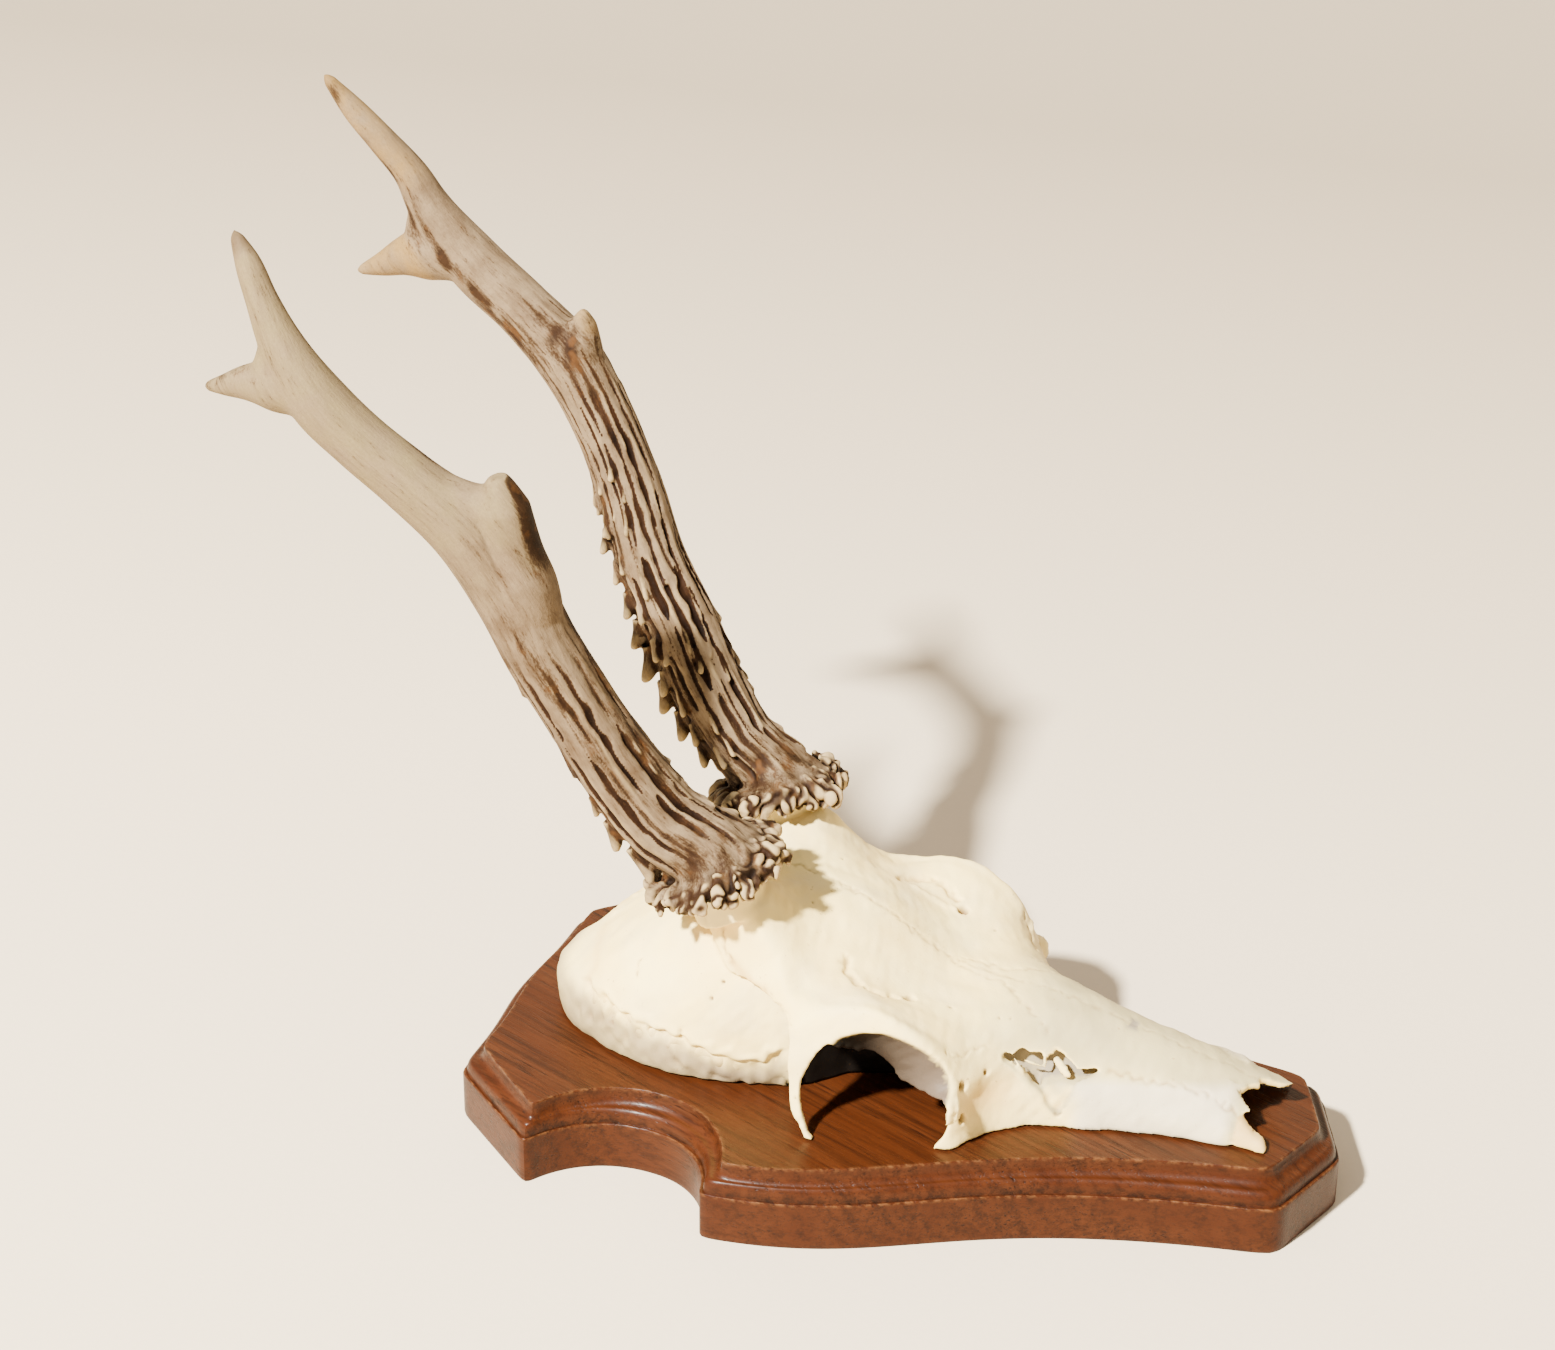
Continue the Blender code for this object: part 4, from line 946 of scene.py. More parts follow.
def prism(name, outline, low, high, upright=False):
    """Closed block: an outline in x and z carried along y, or in x and y carried up."""
    flat = np.array(outline, float)
    order = [0, 1, 2] if upright else [0, 2, 1]
    rings = np.array([np.column_stack([flat[:, 0] + BACK_EDGE, flat[:, 1],
                                       np.full(len(flat), end)])[:, order] for end in (low, high)])
    count = len(flat)
    faces = grid_quads(2, count, True).tolist()
    faces += [list(range(count))[::-1], list(range(count, 2 * count))]
    points = rings.reshape(-1, 3)
    return mesh_object(name, points, outward(points, faces))


def open_sheet(name, surface, wrap, thickness, offset=-1.0):
    """An open surface that is given a wall."""
    item = mesh_object(name, surface.reshape(-1, 3), grid_quads(*surface.shape[:2], wrap).tolist())
    return solidify(item, thickness, offset)


def face_shell():
    """Shell of the face with its openings cut."""
    shell = open_sheet("skull", face_surface()[:, ::-1], False, FACE_WALL)
    for side in (-1, 1):
        span = {name: sorted((side * near, side * far)) for name, (near, far) in SIDE_CUTS.items()}
        cut(shell, prism("temple", soft_outline(TEMPLE, 0.7, 1.4), *span["temple"]))
        angle = np.linspace(0.02, 2 * math.pi + 0.02, 145)[:-1]
        wobble = ORBIT_RADIUS + 0.25 * np.sin(3 * angle + side) + 0.12 * np.sin(11 * angle)
        circle = np.column_stack([ORBIT_CENTRE[0] + wobble * np.cos(angle),
                                  ORBIT_CENTRE[1] + wobble * np.sin(angle)])
        cut(shell, prism("orbit", circle, *span["orbit"]))
        cut(shell, prism("gap", soft_outline(SIDE_GAP, 0.3, 0.3), *span["gap"]))
    cut(shell, prism("jaw_front", soft_outline(JAW_CUT, 0.4, 0.4), -30.0, 30.0))
    corners = ((NOSE_EDGE[-1][0], 30.0), (PAST_NOSE, 30.0), (PAST_NOSE, -30.0), (NOSE_EDGE[0][0], -30.0))
    outline = np.concatenate([NOSE_EDGE, corners])
    cut(shell, prism("nose_front", soft_outline(outline, 0.3, 0.3), NOSE_CUT_BOTTOM, 50.0, True))
    return shell


def pedicle_rings(form):
    """Bone stump under a burr: rings square to the burr's lean that widen softly into the brow."""
    centre, lean = burr_place(form)
    top = centre - (BURR_DEPTH - 0.4) * lean
    across = np.cross(lean, (0.0, 1.0, 0.0))
    across /= np.linalg.norm(across)
    other = np.cross(lean, across)
    angle = np.linspace(0, 2 * math.pi, 49)[:-1, None]
    ring = np.cos(angle) * across + np.sin(angle) * other
    share = np.linspace(0, 1, 12)
    return np.array([top - lean * PEDICLE_LENGTH * (1 - t) + ring * (PEDICLE_RADIUS + 0.4 * (1 - t) ** 2)
                     for t in share])


def object_parts(item):
    """Points and faces of an object, which is then removed."""
    points = read_points(item.data)
    faces = [list(polygon.vertices) for polygon in item.data.polygons]
    bpy.data.objects.remove(item, do_unlink=True)
    return points, faces


def skull_bodies():
    """All closed bodies that the skull is fused from."""
    saw = ((-10.0, -30.0), (-10.0, SAW), (230.0, SAW), (230.0, -30.0))
    shell = face_shell()
    cut(shell, prism("saw", saw, -80.0, 80.0))
    braincase = open_sheet("braincase", braincase_surface(), True, BRAINCASE_WALL)
    cut(braincase, prism("saw", saw, -80.0, 80.0))
    bodies = [object_parts(shell), object_parts(braincase)]
    table = side_table()
    for side in (-1, 1):
        # The wall behind each socket stands for the orbit's inner wall and, coloured near black, for the
        # shade there.
        sheets = (("socket", socket_surface(side, table), 1.2), ("plate", nose_plate(side, table), 1.2),
                  ("septum_shade_wall", septum_shade_wall(side), 1.6))
        bodies += [object_parts(open_sheet(name, surface, False, wall, 0.0))
                   for name, surface, wall in sheets]
        bodies += leaves(side, table)
    for form in (RIGHT, LEFT):
        bodies.append(tube_parts(pedicle_rings(form)))
    return bodies


def skull_lines():
    """Seams, cracks and ridges: (points, width, depth, seam colour); both sides alike.

    A point is x, distance from the middle plane and z; without a z it lies on the top surface.
    """
    middle = [(x, 0.5 * math.sin(x * 1.9) + 0.35 * math.sin(x * 0.8), None) for x in range(52, 124, 2)]
    return (
        (middle, 0.5, 0.30, 0.8),
        ([(124, 0, None), (150, 0.2, None), (180, 0, None), (202, 0, None)], 0.4, 0.25, 0.5),
        ([(122, 2, None), (127, 3, None), (133, 3.2, None), (137, 5.2, None), (141, 8.8, None),
          (145, 10.8, None), (149.5, 12.6, None)], 0.5, 0.35, 0.6),
        ([(96.7, 22.2, None), (98.5, 25.6, None), (101.5, 28.9, None), (104.5, 29.4, None),
          (108.3, 29.6, None), (112.0, 27.0, None)], 1.0, 1.2, 0.35),
        ([(128.5, 37.4, 46.9), (131.8, 32.7, 44.2), (133.8, 28, 43.9), (136, 25, 43.6)], 0.45, 0.35, 0.4),
        ([(166.6, 14.1, 35.9), (171.5, 13.2, 35.2), (176.8, 12.9, 34.2), (184.7, 10.9, 34.0),
          (190.6, 11, 32.4), (199, 11.8, 29.8)], 0.6, 0.55, 0.6),
        ([(199.4, 15.4, 25.8), (200.0, 16.6, 23.6), (200.4, 17.2, 21.6)], 0.45, 0.4, 0.7),
        ([(40.7, 28.1, 51.7), (40.9, 29.8, 49.7), (40.7, 30.8, 47.4)], 0.45, 0.5, 0.9),
        ([(62, 31, 74), (63.4, 31, 70.5), (65, 31, 67), (65.8, 30.5, 62.2), (68.1, 32.2, 60.1),
          (69.4, 32.8, 59.2)], 0.7, 0.5, 0.95),
        ([(79.4, 36.8, 56.0), (83.8, 40.1, 55.2), (87.4, 42.4, 53.7), (89.0, 44.1, 51.5)], 0.35, 0.2, 0.6))


def skull_crests():
    """Low raised lines: (points, width, height)."""
    return (
        (NAPE_LINE, 1.6, 0.8),
        ([(101.8, 22.4, None), (105.1, 22.6, None), (109.1, 22.9, None), (112.5, 22.9, None)], 1.3, 0.6),
        ([(60.7, 36.8, 34.6), (66.3, 36.3, 33.0), (70.8, 35.5, 32.3), (74.2, 34.4, 32.0),
          (78.3, 32.1, 32.8), (82.2, 30, 37.0)], 1.1, 0.55),
        ([(131.2, 45.0, 44.0), (131.6, 40.0, 44.8), (132.2, 36.5, 44.2)], 1.2, 0.7),
        ([(132.4, 43.6, 41.0), (133.4, 43.4, 36.0), (133.4, 43.6, 31.0), (132.6, 44.0, 27.0)], 0.9, 0.25))


def skull_pits():
    """Holes and dots: (x, distance from the middle plane, z, radius, depth, colour share)."""
    return ((115.0, 23.8, None, 1.35, 2.2, 1.0), (97.2, 22.6, None, 1.0, 1.2, 0.3),
            (124.9, 20.8, 50.6, 0.5, 0.5, 0.8), (137.1, 16.6, 47.2, 0.4, 0.4, 0.6),
            (139.6, 15.1, 46.9, 0.4, 0.4, 0.6), (133.5, 37.0, 38.1, 1.15, 2.0, 0.8),
            (134.1, 38.3, 29.4, 1.2, 2.0, 0.8), (137.1, 28.5, 38.4, 0.8, 1.2, 0.6),
            (67.0, 32.7, 52.7, 0.6, 0.7, 1.0), (64.2, 34.9, 48.0, 0.5, 0.6, 1.0),
            (47.1, 35.7, 34.6, 1.3, 1.3, 0.5), (56.2, 36.6, 36.0, 0.8, 0.8, 0.5),
            (56.2, 36.8, 37.6, 0.7, 0.8, 0.5), (34.0, 31.4, 32.4, 0.7, 0.6, 0.4),
            (77.7, 32.4, 30.8, 0.9, 0.9, 0.6), (92.6, 50.4, 33.0, 0.5, 0.5, 0.7),
            (84.0, 12.5, None, 0.4, 0.4, 0.8), (155.2, 22.8, 26.6, 0.8, 0.8, 0.4))


def on_skin(points, normals, x, out, z):
    """Place on the skin nearest to a mark; a mark without a height lies on the top surface."""
    if z is None:
        gap = np.hypot(points[:, 0] - x, points[:, 1] - out) + 4.0 * (normals[:, 2] < 0.2)
    else:
        gap = np.linalg.norm(points - np.array((x, out, z)), axis=1)
    return points[np.argmin(gap)]


def braincase_relief(points):
    """A lip along the wrinkle line and a sunk, lumpy field below it, on the braincase's sides."""
    station = points[:, 0] - BACK_EDGE
    lip = np.interp(station, *np.array(WRINKLE).T) + ripple(points, 5.0, 41) * 0.7
    below = lip - points[:, 2]
    side = fade(np.abs(points[:, 1]), 18, 24) * fade(station, 19, 25) * (1 - fade(station, 81, 85))
    field = fade(below, -0.1, 1.3) * (1 - 0.75 * fade(below, 3, 12))
    lumps_near = ripple(points, 4.0, 42) * 0.4 * fade(below, -2, 2) * (1 - fade(below, 8, 14))
    return side * (0.45 * np.exp(-((below + 1.0) / 1.1) ** 2) - 0.95 * field + lumps_near)


def pressed_marks(points, normals, sizes):
    """Depth of seams and holes at each point, and the shares of seam and pit colour."""
    seam, pit, push = np.zeros(len(points)), np.zeros(len(points)), np.zeros(len(points))
    wander = np.stack([ripple(points, 3.2, seed) for seed in (21, 22, 23)], 1) * 0.45

    def on_side(line, side):
        """A marked line, laid on the skin of one side."""
        return np.array([on_skin(points, normals, x + BACK_EDGE, side * y, z) for x, y, z in line])

    for side in (-1, 1):
        for line, width, depth, tone in skull_lines():
            shape = np.exp(-(distance_to_line(points + wander, on_side(line, side)) / width) ** 2)
            push = np.minimum(push, -depth * sizes.seam_depth * shape)
            seam = np.maximum(seam, tone * shape)
        for x, out, z, radius, depth, tone in skull_pits():
            centre = on_skin(points, normals, x + BACK_EDGE, side * out, z)
            shape = np.exp(-(np.linalg.norm(points + wander * 0.4 - centre, axis=1) / radius) ** 4)
            push = np.minimum(push, -depth * shape)
            pit = np.maximum(pit, tone * shape)
        for line, width, height in skull_crests():
            shape = np.exp(-(distance_to_line(points + wander, on_side(line, side)) / width) ** 2)
            push = push + height * shape
    return push, seam, pit


def socket_shade_shares(station, y, z, normals, depth_in):
    """Where the eye sockets' painted shade lies: inside their rims, and on the sheets behind them."""
    gap = np.hypot(station - ORBIT_CENTRE[0], z - ORBIT_CENTRE[1])
    orbit = (1 - fade(gap, 18.4, 19.6)) * (np.abs(y) > 30)
    wall = np.array(SEPTUM_SHADE_WALL).T
    deep = (np.abs(np.abs(y) - np.interp(station, wall[0], wall[1])) < 3.0) * (np.abs(normals[:, 1]) > 0.4)
    deep = deep * (station > 83) * (station < 137) * (z < np.interp(station, wall[0], wall[2]) - 2.0)
    return orbit, deep * fade(depth_in, 3.0, 6.0)


def mark_skull(mesh, sizes):
    """Press seams and holes into the skull, swell the upper jaw, and paint what the colours need, painted
    shade among it.
    """
    points = read_points(mesh)
    normals = read_normals(mesh)
    push, seam, pit = pressed_marks(points, normals, sizes)
    x, y, z = points.T
    station = x - BACK_EDGE
    table = side_table()
    depth_in = side_width(table, station, z) - np.abs(y)
    outer = (np.abs(normals[:, 1]) > 0.3) * (depth_in < 1.2)
    jaw = fade(station, 156, 162) * (1 - fade(station, 196, 201)) * (1 - fade(z, 32.5, 35.5))
    hollow = np.exp(-(((station - 139.5) / 5.5) ** 2 + ((z - 32.5) / 5.5) ** 2)) * (np.abs(y) > 24)
    edge_line = np.exp(-((station - 199.9) / 0.8) ** 2) * (z < 28)
    uneven = ripple(points, 9.0, 31) * 0.18 + ripple(points, 3.5, 32) * 0.06
    push = push + uneven + (0.9 * jaw - 1.7 * hollow - 0.35 * edge_line) * outer
    push = push + braincase_relief(points)
    points = points + normals * push[:, None]
    points[:, 2] = np.maximum(points[:, 2], SAW)
    write_points(mesh, points)
    paint(mesh, "seam", seam)
    paint(mesh, "pit", pit)
    paint(mesh, "cool", np.maximum(jaw * outer, 0.0))
    lip = np.interp(station, *np.array(WRINKLE).T)
    # Lower braincase: greyer rough bone, and painted shade where it curves under.
    paint(mesh, "dusk", fade(lip - z, 0.5, 6.5) * (1 - fade(station, 80, 88)))
    # Top of the nose: greyer bone, and painted shade on its upward faces.
    paint(mesh, "nose", fade(station, 125, 152) * fade(normals[:, 2], 0.2, 0.75))
    paint(mesh, "warm", yellowed(points, hollow * outer, station, z))
    # Painted shade: bone lying deeper than the face's side behind the nose gap is coloured darker.
    behind = (station > 136) & (station < 170) & (z > 23.5) & (z < 43)
    paint(mesh, "inner", fade(depth_in, 2.9, 4.2) * behind)
    # Painted shade: inside the sockets' rims and on the walls behind them, paler towards the sockets' front.
    orbit, deep = socket_shade_shares(station, y, z, normals, depth_in)
    paint(mesh, "socket", np.maximum(orbit, deep))
    paint(mesh, "socket_front", fade(station, 103, 133) * (1 - 0.9 * deep))


def yellowed(points, hollow, station, z):
    """Share of the yellow-brown colour: in the hollow, at the jaw's front end and along two lines."""
    share = np.maximum(0.9 * hollow, fade(station, 199.5, 200.5) * (z < 29) * 0.8)
    for line, width, strength in ((TEMPLE_LINE, 1.4, 0.9), (NAPE_LINE, 1.8, 0.5)):
        for side in (-1, 1):
            route = np.array([(x + BACK_EDGE, side * out, height) for x, out, height in line])
            share = np.maximum(share, strength * np.exp(-(distance_to_line(points, route) / width) ** 2))
    return share


def build_skull(finish, sizes):
    """Fuse the bodies into one skin, ease its edges, then mark and thin it."""
    points, faces = joined(skull_bodies())
    skull = mesh_object("skull_bone", points, faces)
    skin_over(skull, sizes.skull_cell)
    mesh = skull.data
    ends, degree = edge_ends(mesh)
    write_points(mesh, relaxed(read_points(mesh), ends, degree, 3))
    mark_skull(mesh, sizes)
    paint(mesh, "relief", relief(mesh, 16))
    thin_out(skull, MOST_TRIANGLES)
    return finish_piece(skull, finish, "bone", "skull")


# ------------------------------------------------------------------ antlers

def burr_place(form):
    """Middle of the burr and the direction in which the antler leaves it."""
    x, out, z, _ = form["beam"][0]
    tilt, spread = math.radians(form["lean"][0]), form["lean"][1]
    lean = np.array((-math.sin(tilt), form["side"] * spread, math.cos(tilt)))
    return np.array((x + BACK_EDGE, form["side"] * out, z)), lean / np.linalg.norm(lean)


def placed(points, side):
    """Route points in the frame: x, y, z and radius."""
    route = np.array(points, float)
    route[:, 0] += BACK_EDGE
    route[:, 1] *= side
    return route


def swept(route, spacing, first=None):
    """Even stations along a smooth route, with two directions square to it at each.

    The first of them looks along +Y as far as it can, the second is square to both.
    """
    steps = np.linalg.norm(np.diff(route[:, :3], axis=0), axis=1)
    length = np.concatenate([[0.0], np.cumsum(steps)])
    at = np.linspace(0, length[-1], int(length[-1] / spacing))
    line = hermite(length, route, at)
    tangent = np.gradient(line[:, :3], at, axis=0)
    if first is not None:
        early = (1 - fade(at, 0.0, BURR_EASE))[:, None]
        tangent = tangent / np.linalg.norm(tangent, axis=1)[:, None] * (1 - early) + first * early
    tangent /= np.linalg.norm(tangent, axis=1)[:, None]
    sideways = np.array((0.0, 1.0, 0.0)) - tangent[:, 1:2] * tangent
    sideways /= np.linalg.norm(sideways, axis=1)[:, None]
    return at, line, sideways, np.cross(tangent, sideways)


class Beam:
    """The centre line of one antler from its burr to its tip, and places given by it."""

    def __init__(self, form):
        self.form = form
        self.side = form["side"]
        centre, lean = burr_place(form)
        route = placed(form["beam"], form["side"])
        burr = [(*(centre + lean * d), route[0, 3]) for d in (-BURR_DEPTH, BURR_TOP)]
        self.at, self.line, self.sideways, self.over = swept(np.vstack([burr, route[1:]]), 0.55, lean)
        self.total = self.at[-1]

    def point(self, place, angle, reach):
        """Points at distances along the line, angles round it and distances from it."""
        place, angle, reach = np.broadcast_arrays(place, angle, reach)
        frames = np.column_stack([self.line[:, :3], self.sideways, self.over])
        found = np.stack([np.interp(place, self.at, column) for column in frames.T], -1)
        way = np.cos(angle)[..., None] * found[..., 3:6] + np.sin(angle)[..., None] * found[..., 6:]
        return found[..., :3] + way * reach[..., None]

    def radius(self, place):
        """Route radius, widened towards the burr's by the share of the flare."""
        base = np.interp(place, self.at, self.line[:, 3])
        return base + (BURR_RADIUS - base) * np.interp(place, *BURR_FLARE)

    def locate(self, points):
        """Distance along, angle round, base radius and distance from the line of each point."""
        index = np.empty(len(points), int)
        centre = self.line[:, :3]
        for start in range(0, len(points), BLOCK):
            block = points[start:start + BLOCK]
            gap = np.sum(centre ** 2, 1)[None] - 2 * block @ centre.T
            index[start:start + BLOCK] = np.argmin(gap, 1)
        offset = points - centre[index]
        angle = np.arctan2(np.einsum("ij,ij->i", offset, self.over[index]),
                           np.einsum("ij,ij->i", offset, self.sideways[index]))
        return self.at[index], angle, self.line[index, 3], np.linalg.norm(offset, axis=1)


def groove_tracks(form):
    """Channels along the beam: start angle, drift, middle, half length, half width, depth."""
    rng = np.random.default_rng(form["seed"])
    tracks = []
    reach, lanes = form["reach"], form["lanes"]
    for lane in range(lanes):
        place = rng.uniform(3.0, 12.0)
        while place < reach:
            half = rng.uniform(6.0, 26.0)
            angle = (lane + rng.uniform(-0.3, 0.3)) * 2 * math.pi / lanes
            width = rng.uniform(0.3, 1.2) * (1.0 - 0.55 * max(0.0, (place + half) / reach - 0.4))
            tracks.append((angle, rng.uniform(-0.05, 0.05), place + half, half, width,
                           rng.uniform(0.4, 1.25)))
            place += 2 * half + rng.uniform(-4.0, 5.0)
    return tracks


def grooves(form, at, angle, radius):
    """Depth of the channels: the deepest of many long lens shapes, each with a round bottom.

    With t from -1 to 1 along a channel, its half width is its widest * sqrt(1 - t^2). All of them
    grow shallower up the beam and end at the form's reach.
    """
    depth = np.zeros(np.broadcast(at, angle).shape)
    radius = np.maximum(radius, 2.0)
    place = np.stack(np.broadcast_arrays(at * 0.13, radius * np.cos(angle), radius * np.sin(angle)), -1)
    wander = ripple(place, 5.5, form["seed"] + 50) * 0.35
    unevenness = 1 + 0.4 * ripple(place * np.array((2.2, 1.0, 1.0)), 2.0, form["seed"] + 51)
    for start, drift, middle, half, width, deep in groove_tracks(form):
        run = (at - middle) / half
        around = (angle - start - drift * run + math.pi) % (2 * math.pi) - math.pi
        room = np.clip(1 - run * run, 0, 1) ** 0.5 * width * unevenness
        gap = np.abs(around * radius + wander) / np.maximum(room, 1e-3)
        depth = np.maximum(depth, deep * (1 - fade(gap, 0.6, 1.3)) * (room > 0.08))
    shallow = 1 - 0.45 * fade(at, 0.4 * form["reach"], 0.9 * form["reach"])
    return depth * shallow * (1 - fade(at, form["reach"] - 30.0, form["reach"] + 4.0))


def beam_tube(beam, sizes):
    """Main tube: route radius, flared to the burr, less the channels, with fine long ribs.

    Above the burr, cos(11 * angle) raises roots that run down into its knobs. The tip closes as the
    square root of the distance to its end.
    """
    form, at = beam.form, beam.at
    angle = np.linspace(0, 2 * math.pi, SECTION + 1)[:-1]
    base = beam.line[:, 3:4]
    flare = np.interp(at, *BURR_FLARE)[:, None]
    depth = grooves(form, at[:, None], angle[None], base) * sizes.groove_depth
    place = np.stack(np.broadcast_arrays(at[:, None] * 0.06, base * np.cos(angle), base * np.sin(angle)), -1)
    ribs = ripple(place, 2.6, form["seed"] + 7) * 0.22 + ripple(place, 1.3, form["seed"] + 8) * 0.08
    rough = (1 - fade(at, form["reach"] - 30.0, form["reach"] + 10.0))[:, None]
    early = fade(at, 4.0, 12.0)[:, None]
    radius = base + (BURR_RADIUS - base) * flare + (ribs * (0.2 + 0.8 * rough) - depth) * early
    root = np.cos(angle * 11 + 1.5 * np.sin(at / 4.0)[:, None]) * flare * (1 - flare) * 2.4
    tip = np.sqrt(np.clip((beam.total - at) / (1.6 * beam.line[-1, 3]), 0.03, 1))[:, None]
    radius = np.maximum(radius + root, 0.3) * tip
    return beam.point(at[:, None], angle[None], radius)


def branch_tube(route, swell):
    """Side tine or web: a tube along a route, a little swollen on its way, round at its tip."""
    at, line, sideways, over = swept(route, 0.6)
    angle = np.linspace(0, 2 * math.pi, BRANCH_SECTION + 1)[:-1]
    total = at[-1]
    swell = 1 + swell * np.exp(-((at / total - 0.36) / 0.16) ** 2)
    tip = np.sqrt(np.clip((total + 0.25 * line[-1, 3] - at) / (1.6 * line[-1, 3]), 0.03, 1))
    radius = (line[:, 3] * swell * tip)[:, None]
    ring = (np.cos(angle)[None, :, None] * sideways[:, None]
            + np.sin(angle)[None, :, None] * over[:, None])
    return line[:, None, :3] + radius[:, :, None] * ring


def rods(paths, radii):
    """Closed round bodies along short paths, all at once: (rods, points, 3) and (rods, points)."""
    tangent = np.gradient(paths, axis=1)
    tangent /= np.linalg.norm(tangent, axis=2)[:, :, None]
    spare = np.array((0.31, 0.17, 0.93))
    side = np.cross(tangent, spare)
    side /= np.linalg.norm(side, axis=2)[:, :, None]
    other = np.cross(tangent, side)
    turn = np.linspace(0, 2 * math.pi, 11)[:-1]
    rings = (paths[:, :, None] + radii[:, :, None, None]
             * (np.cos(turn)[:, None] * side[:, :, None] + np.sin(turn)[:, None] * other[:, :, None]))
    return [tube_parts(body) for body in rings]


def burr_knobs(beam):
    """Burr: rows of thick knobs that grow out of the flare, bulge over the rim and curl under it.

    A knob's distance from the line rises as a sine to its rim and falls off by its share^4 again.
    """
    rng = np.random.default_rng(beam.form["seed"] + 1)
    share = np.linspace(0, 1, 10)
    bodies = []
    for count, reach, high, low, thick in BURR_ROWS:
        angle = (np.arange(count) + rng.uniform(-0.35, 0.35, count)) * 2 * math.pi / count
        swing = rng.uniform(-0.2, 0.2, (count, 1)) * share
        place = high + rng.normal(0, 0.7, (count, 1)) + 1.5 * (1 - share) ** 2 + (low - high) * share
        rim = reach + rng.normal(0, 0.9, (count, 1))
        out = rim - 5.0 * (1 - np.sin(np.clip(share * 1.35, 0, 1) * math.pi / 2)) - 1.6 * share ** 4
        radii = thick * (0.75 + 0.4 * np.sin(share * math.pi * 0.8)) * rng.uniform(0.6, 1.35, (count, 1))
        bodies += rods(beam.point(place, angle[:, None] + swing, out), radii)
    return bodies


def coral(points, at, out, seed):
    """Knobs of the burr's rim: high where a bent soft noise is far from zero, valleys at its zeros."""
    bend = np.stack([ripple(points, 7.0, seed + number) for number in (80, 81, 82)], 1) * 0.8
    lobe = np.abs(ripple((points + bend) * np.array((1.0, 1.0, 0.7)), 4.6, seed + 83))
    rim = fade(out, 13.2, 15.4) * fade(at, -5.0, -2.5) * (1 - fade(at, 6.0, 9.0))
    return np.clip(1.25 * lobe - 0.65, -0.65, 0.9) * rim


def drops(beam, place, angle, bulb, length):
    """Thin ridges along the beam that swell and stand off at their lower ends, like drops.

    They stand off by 1.35 * bulb * share^1.7, and their ends are round as sqrt(1 - t^2).
    """
    share = np.linspace(0, 1, 14)
    along = place + length * (1 - share)
    out = beam.radius(along) - 0.7 + bulb * 1.35 * share ** 1.7
    radii = (0.4 + 0.42 * bulb) + (bulb * 0.42 - 0.35) * share ** 2.0
    radii = radii * np.sqrt(np.clip(1 - ((share - 0.8) / 0.21).clip(0, 0.97) ** 2, 0, 1))
    return rods(beam.point(along, angle + 0.05 * np.sin(share * 4), out), radii)


def thorns(beam, place, angle, size):
    """Stout hooks: broad roots on the beam, tips that stand off and point back down.

    They stand off by 2.1 * size * share^1.3 and taper evenly, with a round tip.
    """
    share = np.linspace(0, 1, 12)
    along = place + (2.2 + 1.7 * size) * (1 - share) ** 1.4
    out = beam.radius(along) - 1.2 + size * (0.1 + 2.1 * share ** 1.3)
    radii = (0.25 + size * (0.98 - 0.5 * share)) * np.sqrt(1 - (share * 0.98) ** 6)
    return rods(beam.point(along, angle + 0.1 * np.sin(place * 1.7) * share, out), radii)


def drop_pearls(beam, sizes):
    """Hooks at given places and pearls scattered round given angles."""
    rng = np.random.default_rng(beam.form["seed"] + 2)
    hooks = np.array(beam.form["hooks"])[:, :, None]
    bodies = thorns(beam, hooks[:, 0], np.radians(hooks[:, 1]), hooks[:, 2] * sizes.pearl_size)
    for count, turn, spread, low, high, size in beam.form["pearls"]:
        place = rng.uniform(low, high, (count, 1))
        angle = np.radians(rng.normal(turn, spread, (count, 1)))
        bulb = size * rng.uniform(0.6, 1.25, (count, 1)) * sizes.pearl_size
        bodies += drops(beam, place, angle, bulb, rng.uniform(4.0, 12.0, (count, 1)))
    return bodies


def ease_forks(mesh, forks, side, rounds):
    """Round off the forks: near them the skin's points move towards their neighbours' mean.

    Every fourth step goes as far the other way, which keeps the forks from shrinking.
    """
    points = read_points(mesh)
    places = placed(forks, side)
    weight = np.max([np.exp(-(np.linalg.norm(points - place[:3], axis=1) / place[3]) ** 4)
                     for place in places], axis=0)
    inside = np.flatnonzero(weight > 0.01)
    number = np.full(len(points), -1)
    number[inside] = np.arange(len(inside))
    ends, _ = edge_ends(mesh)
    ends = number[ends[(number[ends] >= 0).all(1)]]
    degree = np.maximum(np.bincount(ends.ravel(), minlength=len(inside)), 1)
    part, share = points[inside], (weight[inside] * 0.6)[:, None]
    for turn in range(rounds):
        step = share if turn % 4 else share * -1.02
        part = part + step * (neighbour_mean(part, ends, degree) - part)
    points[inside] = part
    write_points(mesh, points)


